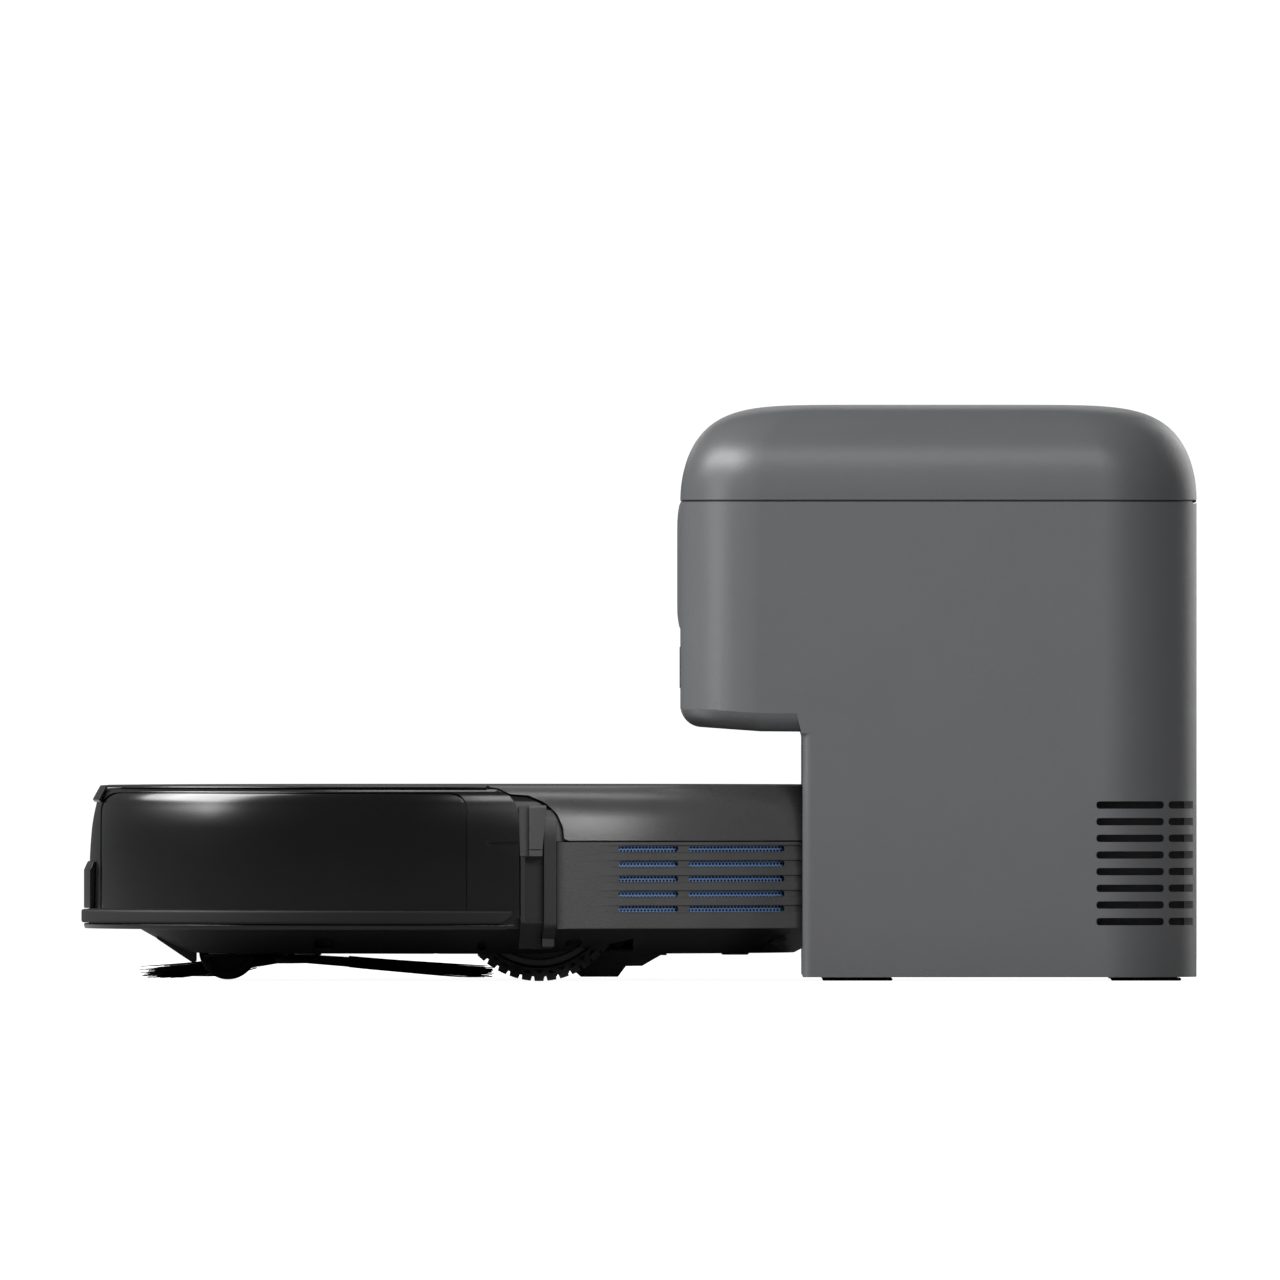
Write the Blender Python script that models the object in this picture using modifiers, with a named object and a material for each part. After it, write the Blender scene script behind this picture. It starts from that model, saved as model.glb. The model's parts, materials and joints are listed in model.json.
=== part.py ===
"""A round robot vacuum parked in its self-emptying dock.

+X runs from the robot's front to the dock's rear, +Y to the robot's right, +Z up. The origin is on the floor,
under the middle of the whole object. Lengths below are in millimetres, and MM turns them into metres.
"""

import math

import bmesh
import bpy
from mathutils import Matrix, Vector

MM = 0.001
GAP = 0.3
LEFT = -1
RIGHT = 1
SIDES = (("left", LEFT), ("right", RIGHT))

# Robot: driving dimensions
ROBOT_X = -61.7
STRIP_R = 168.5
BODY_R = 165.0
TOP_Z = 80.6
FLOOR_Z = 10.8
PLATE = 2.5
WALL_R = 155.8
WALL_TOP_Z = 64.0
SKIRT_Z = 21.6
TURN_STEPS = 48
PANEL_TOP_Z = 57.3

# Bumper and what it carries
BUMPER_END_DEG = 85.5
BUMPER_STEPS = 42
BUMPER_TOP_Z = 76.7
STRIP_END_DEG = 86.4
STRIP_Z = (23.6, 29.1)
WINDOW_DEG = (93.1, 164.9)
PANE = 1.4
SENSOR_HALF_DEG = 10.5

# Drive wheels
WHEEL_X = -40.7
WHEEL_R = 35.5
WHEEL_OUTER_Y = 122.0
WHEEL_WIDTH = 20.0
TYRE_BORE_R = 30.1
LUGS = 42
PIVOT_X = -88.0
PIVOT_Z = 40.0
ARM_Y = (84.0, 100.0)

# Caster, side brush and main brush
SWIVEL_X = -163.5
CASTER_X = -169.5
CASTER_R = 12.0
SIDE_BRUSH_AT = (-147.0, 98.0)
SIDE_BRUSH_DEG = -4.0
BRISTLE_REACH = 62.0
ROLLER_X = -15.0
ROLLER_Z = 16.2
ROLLER_R = 13.0
BAY_X = (-33.0, 15.0)
BAY_Y = 79.0

# Dust bin
BIN_DEG = 34.0
PORT_Z = (32.0, 50.0)
PORT_HALF_Y = 22.0

# Dock: driving dimensions
DOCK_FRONT_X = 17.5
DOCK_LOWER_X = 67.7
DOCK_REAR_X = 230.2
DOCK_HALF_Y = 112.0
DOCK_BOTTOM_Z = 1.5
SEAM_Z = 197.5
DOCK_TOP_Z = 237.4
DOCK_WALL = 3.5
FRONT_CORNER_R = 33.0
REAR_CORNER_R = 39.0
BERTH_R = 167.5
BERTH_TOP_Z = 97.0
HINGE_AT = (229.4, 197.6)
CONTACT_AT = (88.0, 25.0)


def new_collection(name):
    collection = bpy.data.collections.new(name)
    bpy.context.scene.collection.children.link(collection)
    return collection


def new_material(name, colour, roughness, metallic=0.0):
    material = bpy.data.materials.new(name)
    material.use_nodes = True
    shader = material.node_tree.nodes["Principled BSDF"]
    shader.inputs["Base Color"].default_value = (*colour, 1.0)
    shader.inputs["Roughness"].default_value = roughness
    shader.inputs["Metallic"].default_value = metallic
    material.diffuse_color = (*colour, 1.0)
    return material


for old in list(bpy.data.objects):
    bpy.data.objects.remove(old)
PARTS = new_collection("robot_vacuum")
CUTTERS = new_collection("cutters")
CUTTERS.hide_render = True

BLACK = (0.012, 0.012, 0.013)
LOOKS = {
    "chassis": ((0.010, 0.010, 0.011), 0.5, 0.0),
    "bumper": ((0.016, 0.016, 0.017), 0.3, 0.0),
    "window": ((0.008, 0.008, 0.009), 0.08, 0.0),
    "shell": ((0.045, 0.045, 0.046), 0.38, 0.0),
    "panel": ((0.055, 0.055, 0.056), 0.5, 0.0),
    "rubber": (BLACK, 0.8, 0.0),
    "mesh": ((0.06, 0.13, 0.33), 0.45, 0.3),
    "bristle": (BLACK, 0.6, 0.0),
    "steel": ((0.55, 0.55, 0.56), 0.3, 1.0),
    "inner": ((0.09, 0.09, 0.10), 0.6, 0.0),
    "board": ((0.02, 0.10, 0.04), 0.5, 0.0),
    "filter": ((0.75, 0.76, 0.78), 0.9, 0.0),
    "dock": ((0.107, 0.109, 0.113), 0.45, 0.0),
}


def finish(name, bm, look, at=(0, 0, 0), smooth_deg=35):
    """Make the named object from a bmesh drawn in millimetres, with the object's origin at the point `at`."""
    bmesh.ops.recalc_face_normals(bm, faces=bm.faces)
    bmesh.ops.translate(bm, vec=-Vector(at), verts=bm.verts)
    bmesh.ops.scale(bm, vec=(MM, MM, MM), verts=bm.verts)
    mesh = bpy.data.meshes.new(name)
    bm.to_mesh(mesh)
    bm.free()
    mesh.shade_smooth()
    mesh.set_sharp_from_angle(angle=math.radians(smooth_deg))
    return place(name, mesh, look, at)


def place(name, mesh, look, at):
    obj = bpy.data.objects.new(name, mesh)
    obj.location = Vector(at) * MM
    if look is None:
        CUTTERS.objects.link(obj)
        obj.hide_render = True
        obj.display_type = "WIRE"
        return obj
    PARTS.objects.link(obj)
    mesh.materials.append(new_material(name, *LOOKS[look]))
    return obj


def boolean(obj, other, operation="DIFFERENCE"):
    modifier = obj.modifiers.new(other.name, "BOOLEAN")
    modifier.operation = operation
    modifier.solver = "EXACT"
    modifier.object = other
    return obj


def bevelled(obj, width, segments=2, limit_deg=40):
    modifier = obj.modifiers.new("edges", "BEVEL")
    modifier.width = width * MM
    modifier.segments = segments
    modifier.limit_method = "ANGLE"
    modifier.angle_limit = math.radians(limit_deg)
    return obj


def turned(name, profile, look, at=(0, 0, 0), steps=TURN_STEPS, facing=None):
    """A solid of revolution about Z, or about Y towards `facing`. The profile runs down the outer side."""
    mesh = bpy.data.meshes.new(name)
    points = [(radius * MM, 0, height * MM) for radius, height in profile]
    edges = [(i, i + 1) for i in range(len(points) - 1)]
    if profile[0][0] > 0:
        edges.append((len(points) - 1, 0))
    mesh.from_pydata(points, edges, [])
    obj = place(name, mesh, look, at)
    if facing is not None:
        obj.rotation_euler = (-facing * math.pi / 2, 0, 0)
    screw = obj.modifiers.new("turn", "SCREW")
    screw.steps = steps
    screw.render_steps = steps
    screw.use_merge_vertices = True
    screw.merge_threshold = 0.00005
    return obj


def sector(name, profile, degrees, steps, look, centre=(ROBOT_X, 0), at=(0, 0, 0)):
    """A ring sector about a vertical axis: the (radius, height) profile swept between two angles from +X."""
    first, last = (math.radians(angle) for angle in degrees)
    bm = bmesh.new()
    ring = []
    for radius, height in profile:
        ring.append(bm.verts.new((radius * math.cos(first), radius * math.sin(first), height)))
    bm.faces.new(ring)
    bmesh.ops.spin(
        bm, geom=bm.verts[:] + bm.edges[:] + bm.faces[:], cent=(0, 0, 0), axis=(0, 0, 1),
        angle=last - first, steps=steps,
    )
    bmesh.ops.translate(bm, vec=(*centre, 0), verts=bm.verts)
    return finish(name, bm, look, at)


def box(name, low, high, look, at=(0, 0, 0)):
    bm = bmesh.new()
    bmesh.ops.create_cube(bm, size=1.0)
    size = [b - a for a, b in zip(low, high)]
    middle = [(a + b) / 2 for a, b in zip(low, high)]
    bmesh.ops.scale(bm, vec=size, verts=bm.verts)
    bmesh.ops.translate(bm, vec=middle, verts=bm.verts)
    return finish(name, bm, look, at)


def prism(name, outline, low, high, look, along="Z", at=(0, 0, 0)):
    """An outline, of (x, y) extruded along Z or of (x, z) extruded along Y, from low to high."""
    bm = bmesh.new()
    if along == "Z":
        verts = [bm.verts.new((x, y, low)) for x, y in outline]
        step = (0, 0, high - low)
    else:
        verts = [bm.verts.new((x, low, z)) for x, z in outline]
        step = (0, high - low, 0)
    face = bm.faces.new(verts)
    grown = bmesh.ops.extrude_face_region(bm, geom=[face])
    moved = [item for item in grown["geom"] if isinstance(item, bmesh.types.BMVert)]
    bmesh.ops.translate(bm, vec=step, verts=moved)
    return finish(name, bm, look, at)


def rod(name, radius, low, high, look, x, y, steps=24):
    """An upright cylinder."""
    return turned(name, [(0, high), (radius, high), (radius, low), (0, low)], look, (x, y, 0), steps)


def arc(centre, radius, start, end, count):
    """Points along an arc, in degrees, both ends included."""
    points = []
    for i in range(count + 1):
        angle = math.radians(start + (end - start) * i / count)
        points.append((centre[0] + radius * math.cos(angle), centre[1] + radius * math.sin(angle)))
    return points


def shell_profile(outer, thickness):
    """Close an outer (radius, height) line into a wall by stepping it inwards."""
    return list(outer) + [(radius - thickness, height) for radius, height in reversed(outer)]


# ---------------------------------------------------------------- robot body
def chassis():
    tub = [
        (0, FLOOR_Z + PLATE), (124.6, FLOOR_Z + PLATE), (134.5, 18.5), (144.4, 24.0), (WALL_R - PLATE, 24.0),
        (WALL_R - PLATE, WALL_TOP_Z), (WALL_R, WALL_TOP_Z), (WALL_R, SKIRT_Z), (145.2, SKIRT_Z),
        (136.0, 16.3), (125.5, FLOOR_Z), (0, FLOOR_Z),
    ]
    pan = turned("chassis_pan", tub, "chassis", (ROBOT_X, 0, 0))
    bin_gap = [(150, 24.15), (160, 24.15), (160, 70), (150, 70)]
    cutters = [
        box("brush_bay_cut", (BAY_X[0], -BAY_Y, 5), (BAY_X[1], BAY_Y, 30), None),
        turned("caster_cut", [(0, 20), (19.3, 20), (19.3, 5), (0, 5)], None, (SWIVEL_X, 0, 0), 36),
        turned("brush_shaft_cut", [(0, 40), (4, 40), (4, 5), (0, 5)], None, (*SIDE_BRUSH_AT, 0), 16),
        sector("bin_cut", bin_gap, (-BIN_DEG - 2.4, BIN_DEG + 2.4), 11, None),
    ]
    for name, side in SIDES:
        near, far = sorted((side * 82.0, side * 124.6))
        cutters.append(box(f"well_cut_{name}", (-84, near, 5), (-2, far, 30), None))
    for cutter in cutters:
        boolean(pan, cutter)
    nose = [(-199.5, 17.4), (-184.5, 7.3), (-183.4, 7.3), (-183.4, 12.0), (-197.0, 19.0)]
    boolean(pan, prism("caster_nose", nose, -24, 24, None, "Y"), "UNION")


def bumper():
    outer = [
        (160.9, BUMPER_TOP_Z), (162.1, 73.0), (163.0, 69.0), (164.1, 62.0), (164.9, 50.0),
        (165.3, STRIP_Z[1]), (165.3, STRIP_Z[0] - GAP), (167.4, STRIP_Z[0] - GAP), (167.4, 21.2),
    ]
    inner = [(161.8, 21.2), (162.2, 40.0), (161.6, 62.0), (158.6, BUMPER_TOP_Z)]
    span = (BUMPER_END_DEG, 360 - BUMPER_END_DEG)
    shell = sector("bumper_shell", outer + inner, span, BUMPER_STEPS, "bumper")
    strip = [(STRIP_R, STRIP_Z[1]), (STRIP_R, STRIP_Z[0]), (165.6, STRIP_Z[0]), (165.6, STRIP_Z[1])]
    sector("rubber_strip", strip, (STRIP_END_DEG, 360 - STRIP_END_DEG), 52, "rubber")
    face = [(161.1, 76.3), (162.1, 73.0), (163.0, 69.0), (164.1, 62.0), (164.9, 50.0), (165.3, 29.5)]
    pane = shell_profile(face, PANE)
    seat = [(radius - PANE - GAP, height) for radius, height in reversed(face)]
    pocket = [(170.0, 78.0), (170.0, 29.2), (seat[0][0], 29.2)] + seat[1:] + [(158.9, 78.0)]
    for name, side in SIDES:
        first, last = sorted(side * angle for angle in WINDOW_DEG)
        cutter = sector(f"window_cut_{name}", pocket, (first - 0.12, last + 0.12), 12, None)
        boolean(shell, cutter)
        sector(f"side_window_{name}", pane, (first, last), 12, "window")
        end = sorted((side * 84.0, side * 91.8))
        corner = [(150, 72.6), (170, 72.6), (170, 80), (150, 80)]
        boolean(shell, sector(f"bumper_corner_{name}", corner, end, 2, None))
    nub = [(165.25, 50.2), (167.4, 45.3), (167.4, 29.5), (165.7, 29.5)]
    span = (180 - SENSOR_HALF_DEG, 180 + SENSOR_HALF_DEG)
    sector("front_sensor_window", nub, span, 5, "window")
    visor = [(160.3, 80.4), (163.8, 74.2), (162.7, 73.0), (161.5, 77.2)]
    sector("front_visor", visor, span, 5, "bumper")


def top():
    rim = [(147.0, TOP_Z), (159.0, TOP_Z), (159.8, 80.4), (161.1, 77.1), (147.0, 77.1)]
    sector("front_top_rim", rim, (90.2, 269.8), 40, "bumper")
    shell = [
        (147.0, TOP_Z), (151.0, 80.3), (156.5, 78.0), (160.5, 74.0), (163.2, 69.0), (164.6, 63.0), (165.0, 57.6),
        (162.5, 57.6), (161.5, 65.0), (158.2, 72.0), (151.5, 77.0), (147.0, 77.9),
    ]
    cover = sector("rear_top_shell", shell, (-89.8, 89.8), 30, "shell")
    for name, side in SIDES:
        first, last = sorted((side * 79.4, side * 95.0))
        low = [(140, 40), (170, 40), (170, 73.0), (140, 73.0)]
        boolean(cover, sector(f"shell_cut_{name}", low, (first, last), 4, None))
    disc = [(0, TOP_Z), (146.7, TOP_Z), (146.7, 78.1), (0, 78.1)]
    plate = turned("top_plate", disc, "bumper", (ROBOT_X, 0, 0))
    for name, x, radius in (("start_button", -96.0, 11.0), ("home_button", -66.0, 7.0)):
        hole = rod(f"{name}_hole", radius + 0.4, 70, 90, None, x, 0, 32)
        boolean(plate, hole)
        cap = [(0, TOP_Z), (radius, TOP_Z), (radius, 77.4), (radius + 2, 77.4), (radius + 2, 75.6), (0, 75.6)]
        turned(name, cap, "shell", (x, 0, 0), 32)


def sides():
    wall = [
        (BODY_R, PANEL_TOP_Z), (BODY_R, SKIRT_Z), (156.2, SKIRT_Z), (156.2, 23.8), (162.5, 23.8), (162.5, PANEL_TOP_Z),
    ]
    vents = [(-8.0, 16.5), (20.8, 60.2)]
    rows = [54.5 - 6.18 * row for row in range(5)]
    pillar = [
        (158.2, 72.6), (160.6, 62.0), (161.2, 50.0), (161.2, 22.0), (151.5, 13.4), (149.6, 13.4),
        (149.6, SKIRT_Z - GAP), (156.2, SKIRT_Z - GAP), (156.2, 72.6),
    ]
    for name, side in SIDES:
        first, last = sorted((side * (BIN_DEG + 0.2), side * 79.3))
        panel = sector(f"side_panel_{name}", wall, (first, last), 12, "panel")
        for row, height in enumerate(rows):
            for slot, (front, rear) in enumerate(vents):
                near, far = sorted((side * 90.0, side * 170.0))
                low = (front, near, height - 1.22)
                high = (rear, far, height + 1.22)
                boolean(panel, box(f"vent_cut_{name}_{row}_{slot}", low, high, None))
        first, last = sorted((side * 39.0, side * 72.0))
        screen = [(160.8, 57.0), (160.8, 26.0), (160.0, 26.0), (160.0, 57.0)]
        sector(f"vent_mesh_{name}", screen, (first, last), 8, "mesh")
        first, last = sorted((side * 79.5, side * 85.2))
        sector(f"side_pillar_{name}", pillar, (first, last), 3, "chassis")


def dust_bin():
    """An open-topped box with a round rear wall that carries the lip below it and the port in the middle."""
    neck = arc((ROBOT_X, 0), 160.0, -BIN_DEG, BIN_DEG, 1)
    rear = arc((ROBOT_X, 0), BODY_R, -BIN_DEG, BIN_DEG, 14)
    outline = [(22.0, -80.0), neck[0]] + rear + [neck[1], (22.0, 80.0)]
    tray = prism("dust_bin", outline, 24.4, PANEL_TOP_Z, "inner")
    inside = arc((ROBOT_X, 0), BODY_R - PLATE, 0.8 - BIN_DEG, BIN_DEG - 0.8, 14)
    boolean(tray, prism("bin_inside", [(24.0, -78.0)] + inside + [(24.0, 78.0)], 26.4, 70, None))
    port = box("port_cut", (90, -PORT_HALF_Y, PORT_Z[0]), (110, PORT_HALF_Y, PORT_Z[1]), None)
    boolean(tray, port)
    lip = [(BODY_R - 0.2, 25.6), (BODY_R - 0.2, SKIRT_Z), (156.2, SKIRT_Z), (156.2, 25.6)]
    boolean(tray, sector("bin_lip", lip, (0.4 - BIN_DEG, BIN_DEG - 0.4), 13, None), "UNION")
    box("bin_filter", (26, -60, 44), (60, 60, 57), "filter")
    hinge = (98.5, 0, PORT_Z[1] - 1.6)
    low = (hinge[0] - 0.8, -PORT_HALF_Y + 0.6, PORT_Z[0] + 0.6)
    high = (hinge[0] + 0.8, PORT_HALF_Y - 0.6, PORT_Z[1] - 0.6)
    box("evacuation_flap", low, high, "rubber", hinge)


# ---------------------------------------------------------------- robot running gear
def stadium(start, start_r, end, end_r, count=8):
    """The outline round two circles of the (x, z) plane, start left of end."""
    slope = math.degrees(math.atan2(end[1] - start[1], end[0] - start[0]))
    lean = math.degrees(math.asin((end_r - start_r) / math.dist(start, end)))
    left = arc(start, start_r, slope + 90 + lean, slope + 270 - lean, count)
    return left + arc(end, end_r, slope - 90 - lean, slope + 90 + lean, count)


def drive_wheel(name, side):
    """A sprung arm with its gear motor, the wheel's rim with a stub axle, and the lugged tyre."""
    low, high = sorted(side * y for y in ARM_Y)
    pivot = (PIVOT_X, 0, PIVOT_Z)
    outline = stadium((PIVOT_X, PIVOT_Z), 10.0, (WHEEL_X, WHEEL_R), 15.0)
    arm = prism(f"suspension_arm_{name}", outline, low, high, "inner", "Y", pivot)
    can = [(0, 32), (12, 32), (12, 0), (0, 0)]
    motor = turned(f"motor_can_{name}", can, None, (-62, side * 54, 38), 20, side)
    boolean(arm, motor, "UNION")
    bore = [(0, 15), (4.5, 15), (4.5, 0), (0, 0)]
    boolean(arm, turned(f"axle_bore_{name}", bore, None, (WHEEL_X, side * 88.5, WHEEL_R), 20, side))
    hub = [
        (0, 27), (9, 27), (9, 25), (26.5, 25), (26.5, 29), (29.4, 29), (29.4, 13), (8, 13), (8, 11.5), (4, 11.5),
        (4, 0), (0, 0),
    ]
    turned(f"wheel_rim_{name}", hub, "inner", (WHEEL_X, side * 91.0, WHEEL_R), 20, side)
    bm = bmesh.new()
    inner_y = side * (WHEEL_OUTER_Y - WHEEL_WIDTH)
    rings = []
    for y in (inner_y, side * WHEEL_OUTER_Y):
        ring = []
        for lug in range(LUGS):
            for share, radius in ((-0.36, WHEEL_R), (0.36, WHEEL_R), (0.5, 33.6)):
                angle = math.radians(-90 + 360 * (lug + share) / LUGS)
                x, z = WHEEL_X + radius * math.cos(angle), WHEEL_R + radius * math.sin(angle)
                ring.append(bm.verts.new((x, y, z)))
        rings.append(ring)
    hole = []
    for y in (inner_y, side * WHEEL_OUTER_Y):
        ring = []
        for i in range(LUGS // 2):
            angle = math.radians(-90 + 720 * i / LUGS)
            x, z = WHEEL_X + TYRE_BORE_R * math.cos(angle), WHEEL_R + TYRE_BORE_R * math.sin(angle)
            ring.append(bm.verts.new((x, y, z)))
        hole.append(ring)
    for near, far in (rings, hole):
        for i, vert in enumerate(near):
            after = (i + 1) % len(near)
            bm.faces.new((vert, near[after], far[after], far[i]))
    for outer, inner in zip(rings, hole):
        for i, vert in enumerate(inner):
            edge = [outer[(6 * i + k) % len(outer)] for k in range(7)]
            bm.faces.new(edge + [inner[(i + 1) % len(inner)], vert])
    finish(f"tyre_{name}", bm, "rubber", (WHEEL_X, 0, WHEEL_R))


def caster():
    socket = [
        (0, 33), (21.8, 33), (21.8, 13.7), (19.3, 13.7), (19.3, 30.5), (4.5, 30.5), (4.5, 31.5), (0, 31.5),
    ]
    turned("caster_socket", socket, "inner", (SWIVEL_X, 0, 0), 24)
    stem = [(0, 31.1), (4.1, 31.1), (4.1, 28.0), (18.6, 28.0), (18.6, 9.3), (0, 9.3)]
    fork = turned("caster_fork", stem, "chassis", (SWIVEL_X, 0, 0), 24)
    boolean(fork, box("fork_slot", (CASTER_X - 13.5, -7.8, 0), (CASTER_X + 13.5, 7.8, 25.5), None))
    across = [(0, 13), (2.1, 13), (2.1, -13), (0, -13)]
    boolean(fork, turned("fork_bore", across, None, (CASTER_X, 0, CASTER_R), 12, RIGHT))
    wheel = [
        (0, 12.6), (1.8, 12.6), (1.8, 6.6), (8.2, 6.6), (8.6, 7.2), (11.0, 7.2), (12.0, 6.0), (12.0, -6.0),
        (11.0, -7.2), (8.6, -7.2), (8.2, -6.6), (1.8, -6.6), (1.8, -12.6), (0, -12.6),
    ]
    turned("caster_wheel", wheel, "rubber", (CASTER_X, 0, CASTER_R), 20, RIGHT)


def side_brush():
    x, y = SIDE_BRUSH_AT
    hub = [(0, 24.6), (3, 24.6), (3, 10.2), (13, 10.2), (13, 7.4), (10, 6.0), (0, 6.0)]
    core = turned("side_brush_hub", hub, "rubber", (x, y, 0), 24)
    for number in range(3):
        angle = SIDE_BRUSH_DEG + 120 * number
        turn = Matrix.Translation((x * MM, y * MM, 0)) @ Matrix.Rotation(math.radians(angle), 4, "Z")
        root = [(8.0, 9.9), (8.0, 6.4), (28.0, 4.6), (28.0, 8.4)]
        arm = prism(f"brush_root_{number + 1}", root, -3.2, 3.2, None, "Y")
        arm.matrix_world = turn
        boolean(core, arm, "UNION")
        tuft = [
            (28.4, 7.9), (28.4, 5.1), (40, 3.6), (51, 2.4), (BRISTLE_REACH, 1.7), (BRISTLE_REACH, 2.9), (51, 4.4),
            (40, 6.2),
        ]
        bundle = prism(f"bristle_bundle_{number + 1}", tuft, -2.6, 2.6, "bristle", "Y")
        bundle.matrix_world = turn
    turned("side_brush_motor", [(0, 50), (10, 50), (10, 25.2), (0, 25.2)], "steel", (x, y, 0), 20)


def main_brush():
    """A finned roller in its bay: housing above it, guard frame below it, motor beside it."""
    bm = bmesh.new()
    fins = 6
    half = 72.0
    rows = 12
    rings = []
    for row in range(rows + 1):
        ring = []
        for i in range(fins * 2):
            radius = ROLLER_R if i % 2 == 0 else 8.5
            angle = math.radians(180 * i / fins + 60 * abs(2 * row / rows - 1))
            point = (radius * math.cos(angle), half * (2 * row / rows - 1), radius * math.sin(angle))
            ring.append(bm.verts.new(point))
        rings.append(ring)
    for near, far in zip(rings, rings[1:]):
        for i, vert in enumerate(near):
            after = (i + 1) % len(near)
            bm.faces.new((vert, near[after], far[after], far[i]))
    bm.faces.new(rings[0])
    bm.faces.new(rings[-1])
    bmesh.ops.translate(bm, vec=(ROLLER_X, 0, ROLLER_Z), verts=bm.verts)
    finish("main_brush_roller", bm, "rubber", (ROLLER_X, 0, ROLLER_Z))
    low = [(ROLLER_X - 17.0, 13.7), (ROLLER_X - 14.6, 13.7)]
    inner = arc((ROLLER_X, ROLLER_Z), 14.6, 180, 0, 10)
    outer = arc((ROLLER_X, ROLLER_Z), 17.0, 0, 180, 10)
    outline = low + inner + [(ROLLER_X + 14.6, 13.7), (ROLLER_X + 17.0, 13.7)] + outer
    hood = prism("brush_housing", outline, -78, 78, "inner", "Y")
    mouth = box("hood_mouth", (ROLLER_X - 8, -18, 28), (ROLLER_X + 8, 18, 36), None)
    boolean(hood, mouth)
    side = [
        (-32.6, 13.0), (-32.6, 9.6), (-23.6, 1.5), (-8.3, 1.5), (-5.0, 5.9), (1.7, 6.0), (9.3, 10.4), (11.8, 10.4),
        (11.8, 13.0),
    ]
    guard = prism("brush_guard", side, -78.5, 78.5, "chassis", "Y")
    mouth = [(-28.5, 20), (-28.5, 9.6), (-23.0, 0), (-6.5, 0), (4.0, 8.4), (4.0, 20)]
    bars = (-36, 0, 36)
    starts = [-72.6] + [y + 1 for y in bars]
    ends = [y - 1 for y in bars] + [72.6]
    for number, (low, high) in enumerate(zip(starts, ends)):
        boolean(guard, prism(f"guard_mouth_{number}", mouth, low, high, None, "Y"))
    swing = [(0, 72.3), (ROLLER_R + 0.8, 72.3), (ROLLER_R + 0.8, -72.3), (0, -72.3)]
    boolean(guard, turned("roller_clearance", swing, None, (ROLLER_X, 0, ROLLER_Z), 24, RIGHT))
    turned("brush_motor", [(0, 40), (12, 40), (12, 0), (0, 0)], "steel", (8, 22, 48), 20, RIGHT)


def inner_parts():
    bevelled(box("battery_pack", (-138, -55, 13.8), (-97, 55, 44), "inner"), 2)
    box("main_board", (-130, -50, 66), (-20, 50, 67.6), "board")
    fan = [(0, 60), (14, 60), (14, 56), (24, 54), (27, 48), (27, 18), (20, 14), (0, 14)]
    turned("suction_fan", fan, "inner", (-66, 0, 0), 28)
    for name, side in SIDES:
        low, high = sorted(side * y for y in (CONTACT_AT[1] - 7, CONTACT_AT[1] + 7))
        box(f"charging_pad_{name}", (82, low, 20.8), (92, high, 21.3), "steel")


# ---------------------------------------------------------------- dock
def dock_outline(inset=0.0, steps=8):
    """The dock's plan: a rounded rectangle with tighter corners at the front."""
    half = DOCK_HALF_Y - inset
    front = DOCK_FRONT_X + inset
    rear = DOCK_REAR_X - inset
    front_r = FRONT_CORNER_R - inset
    rear_r = REAR_CORNER_R - inset
    points = arc((rear - rear_r, half - rear_r), rear_r, 0, 90, steps)
    points += arc((front + front_r, half - front_r), front_r, 90, 180, steps)
    points += arc((front + front_r, front_r - half), front_r, 180, 270, steps)
    points += arc((rear - rear_r, rear_r - half), rear_r, 270, 360, steps)
    return points


def dock_body():
    body = prism("dock_body", dock_outline(), DOCK_BOTTOM_Z, SEAM_Z - GAP, "dock")
    under = [(0, -5), (DOCK_LOWER_X, -5), (DOCK_LOWER_X, 99.3)]
    under += arc((DOCK_LOWER_X - 2.2, 99.3), 2.2, 20, 90, 2)
    under += arc((26.5, 113.3), 9.0, 267, 180, 5) + [(0, 113.3)]
    boolean(body, prism("under_overhang", under, -130, 130, None, "Y"))
    berth = [(0, BERTH_TOP_Z), (BERTH_R, BERTH_TOP_Z), (BERTH_R, -5), (0, -5)]
    boolean(body, turned("berth_cut", berth, None, (ROBOT_X, 0, 0), 60))
    upper = prism("upper_room", dock_outline(DOCK_WALL), 118, 210, None)
    boolean(body, upper)
    room = [(x, y) for x, y in dock_outline(DOCK_WALL) if x > 120]
    lower = [point for point in room if point[1] >= 0] + [(112.0, DOCK_HALF_Y - DOCK_WALL)]
    lower += [(112.0, DOCK_WALL - DOCK_HALF_Y)] + [point for point in room if point[1] < 0]
    boolean(body, prism("lower_room", lower, -5, 112.0, None))
    boolean(body, box("duct_way", (114, -26, 105), (180, 26, 125), None))
    boolean(body, box("base_way", (71, -100.4, -5), (120, 100.4, 9.6), None))
    boolean(body, box("port_way", (95, -27, 28), (120, 27, 54), None))
    boolean(body, box("inlet_way", (220, -72.3, 19.7), (240, -43.7, 40.3), None))
    hinge = (HINGE_AT[0], 0, HINGE_AT[1])
    boolean(body, turned("pin_way", [(0, 84), (1.2, 84), (1.2, -84), (0, -84)], None, hinge, 16, RIGHT))
    for name, side in SIDES:
        for row in range(8):
            height = 24.4 + 6.85 * row
            low, high = sorted((side * 95, side * 120))
            slot = box(f"dock_vent_{name}_{row}", (188.6, low, height - 1.5), (216.4, high, height + 1.5), None)
            boolean(body, slot)
    bevelled(box("dock_front_panel", (16.2, -62, 146), (17.2, 62, 196), "dock"), 0.6, 1)


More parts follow.
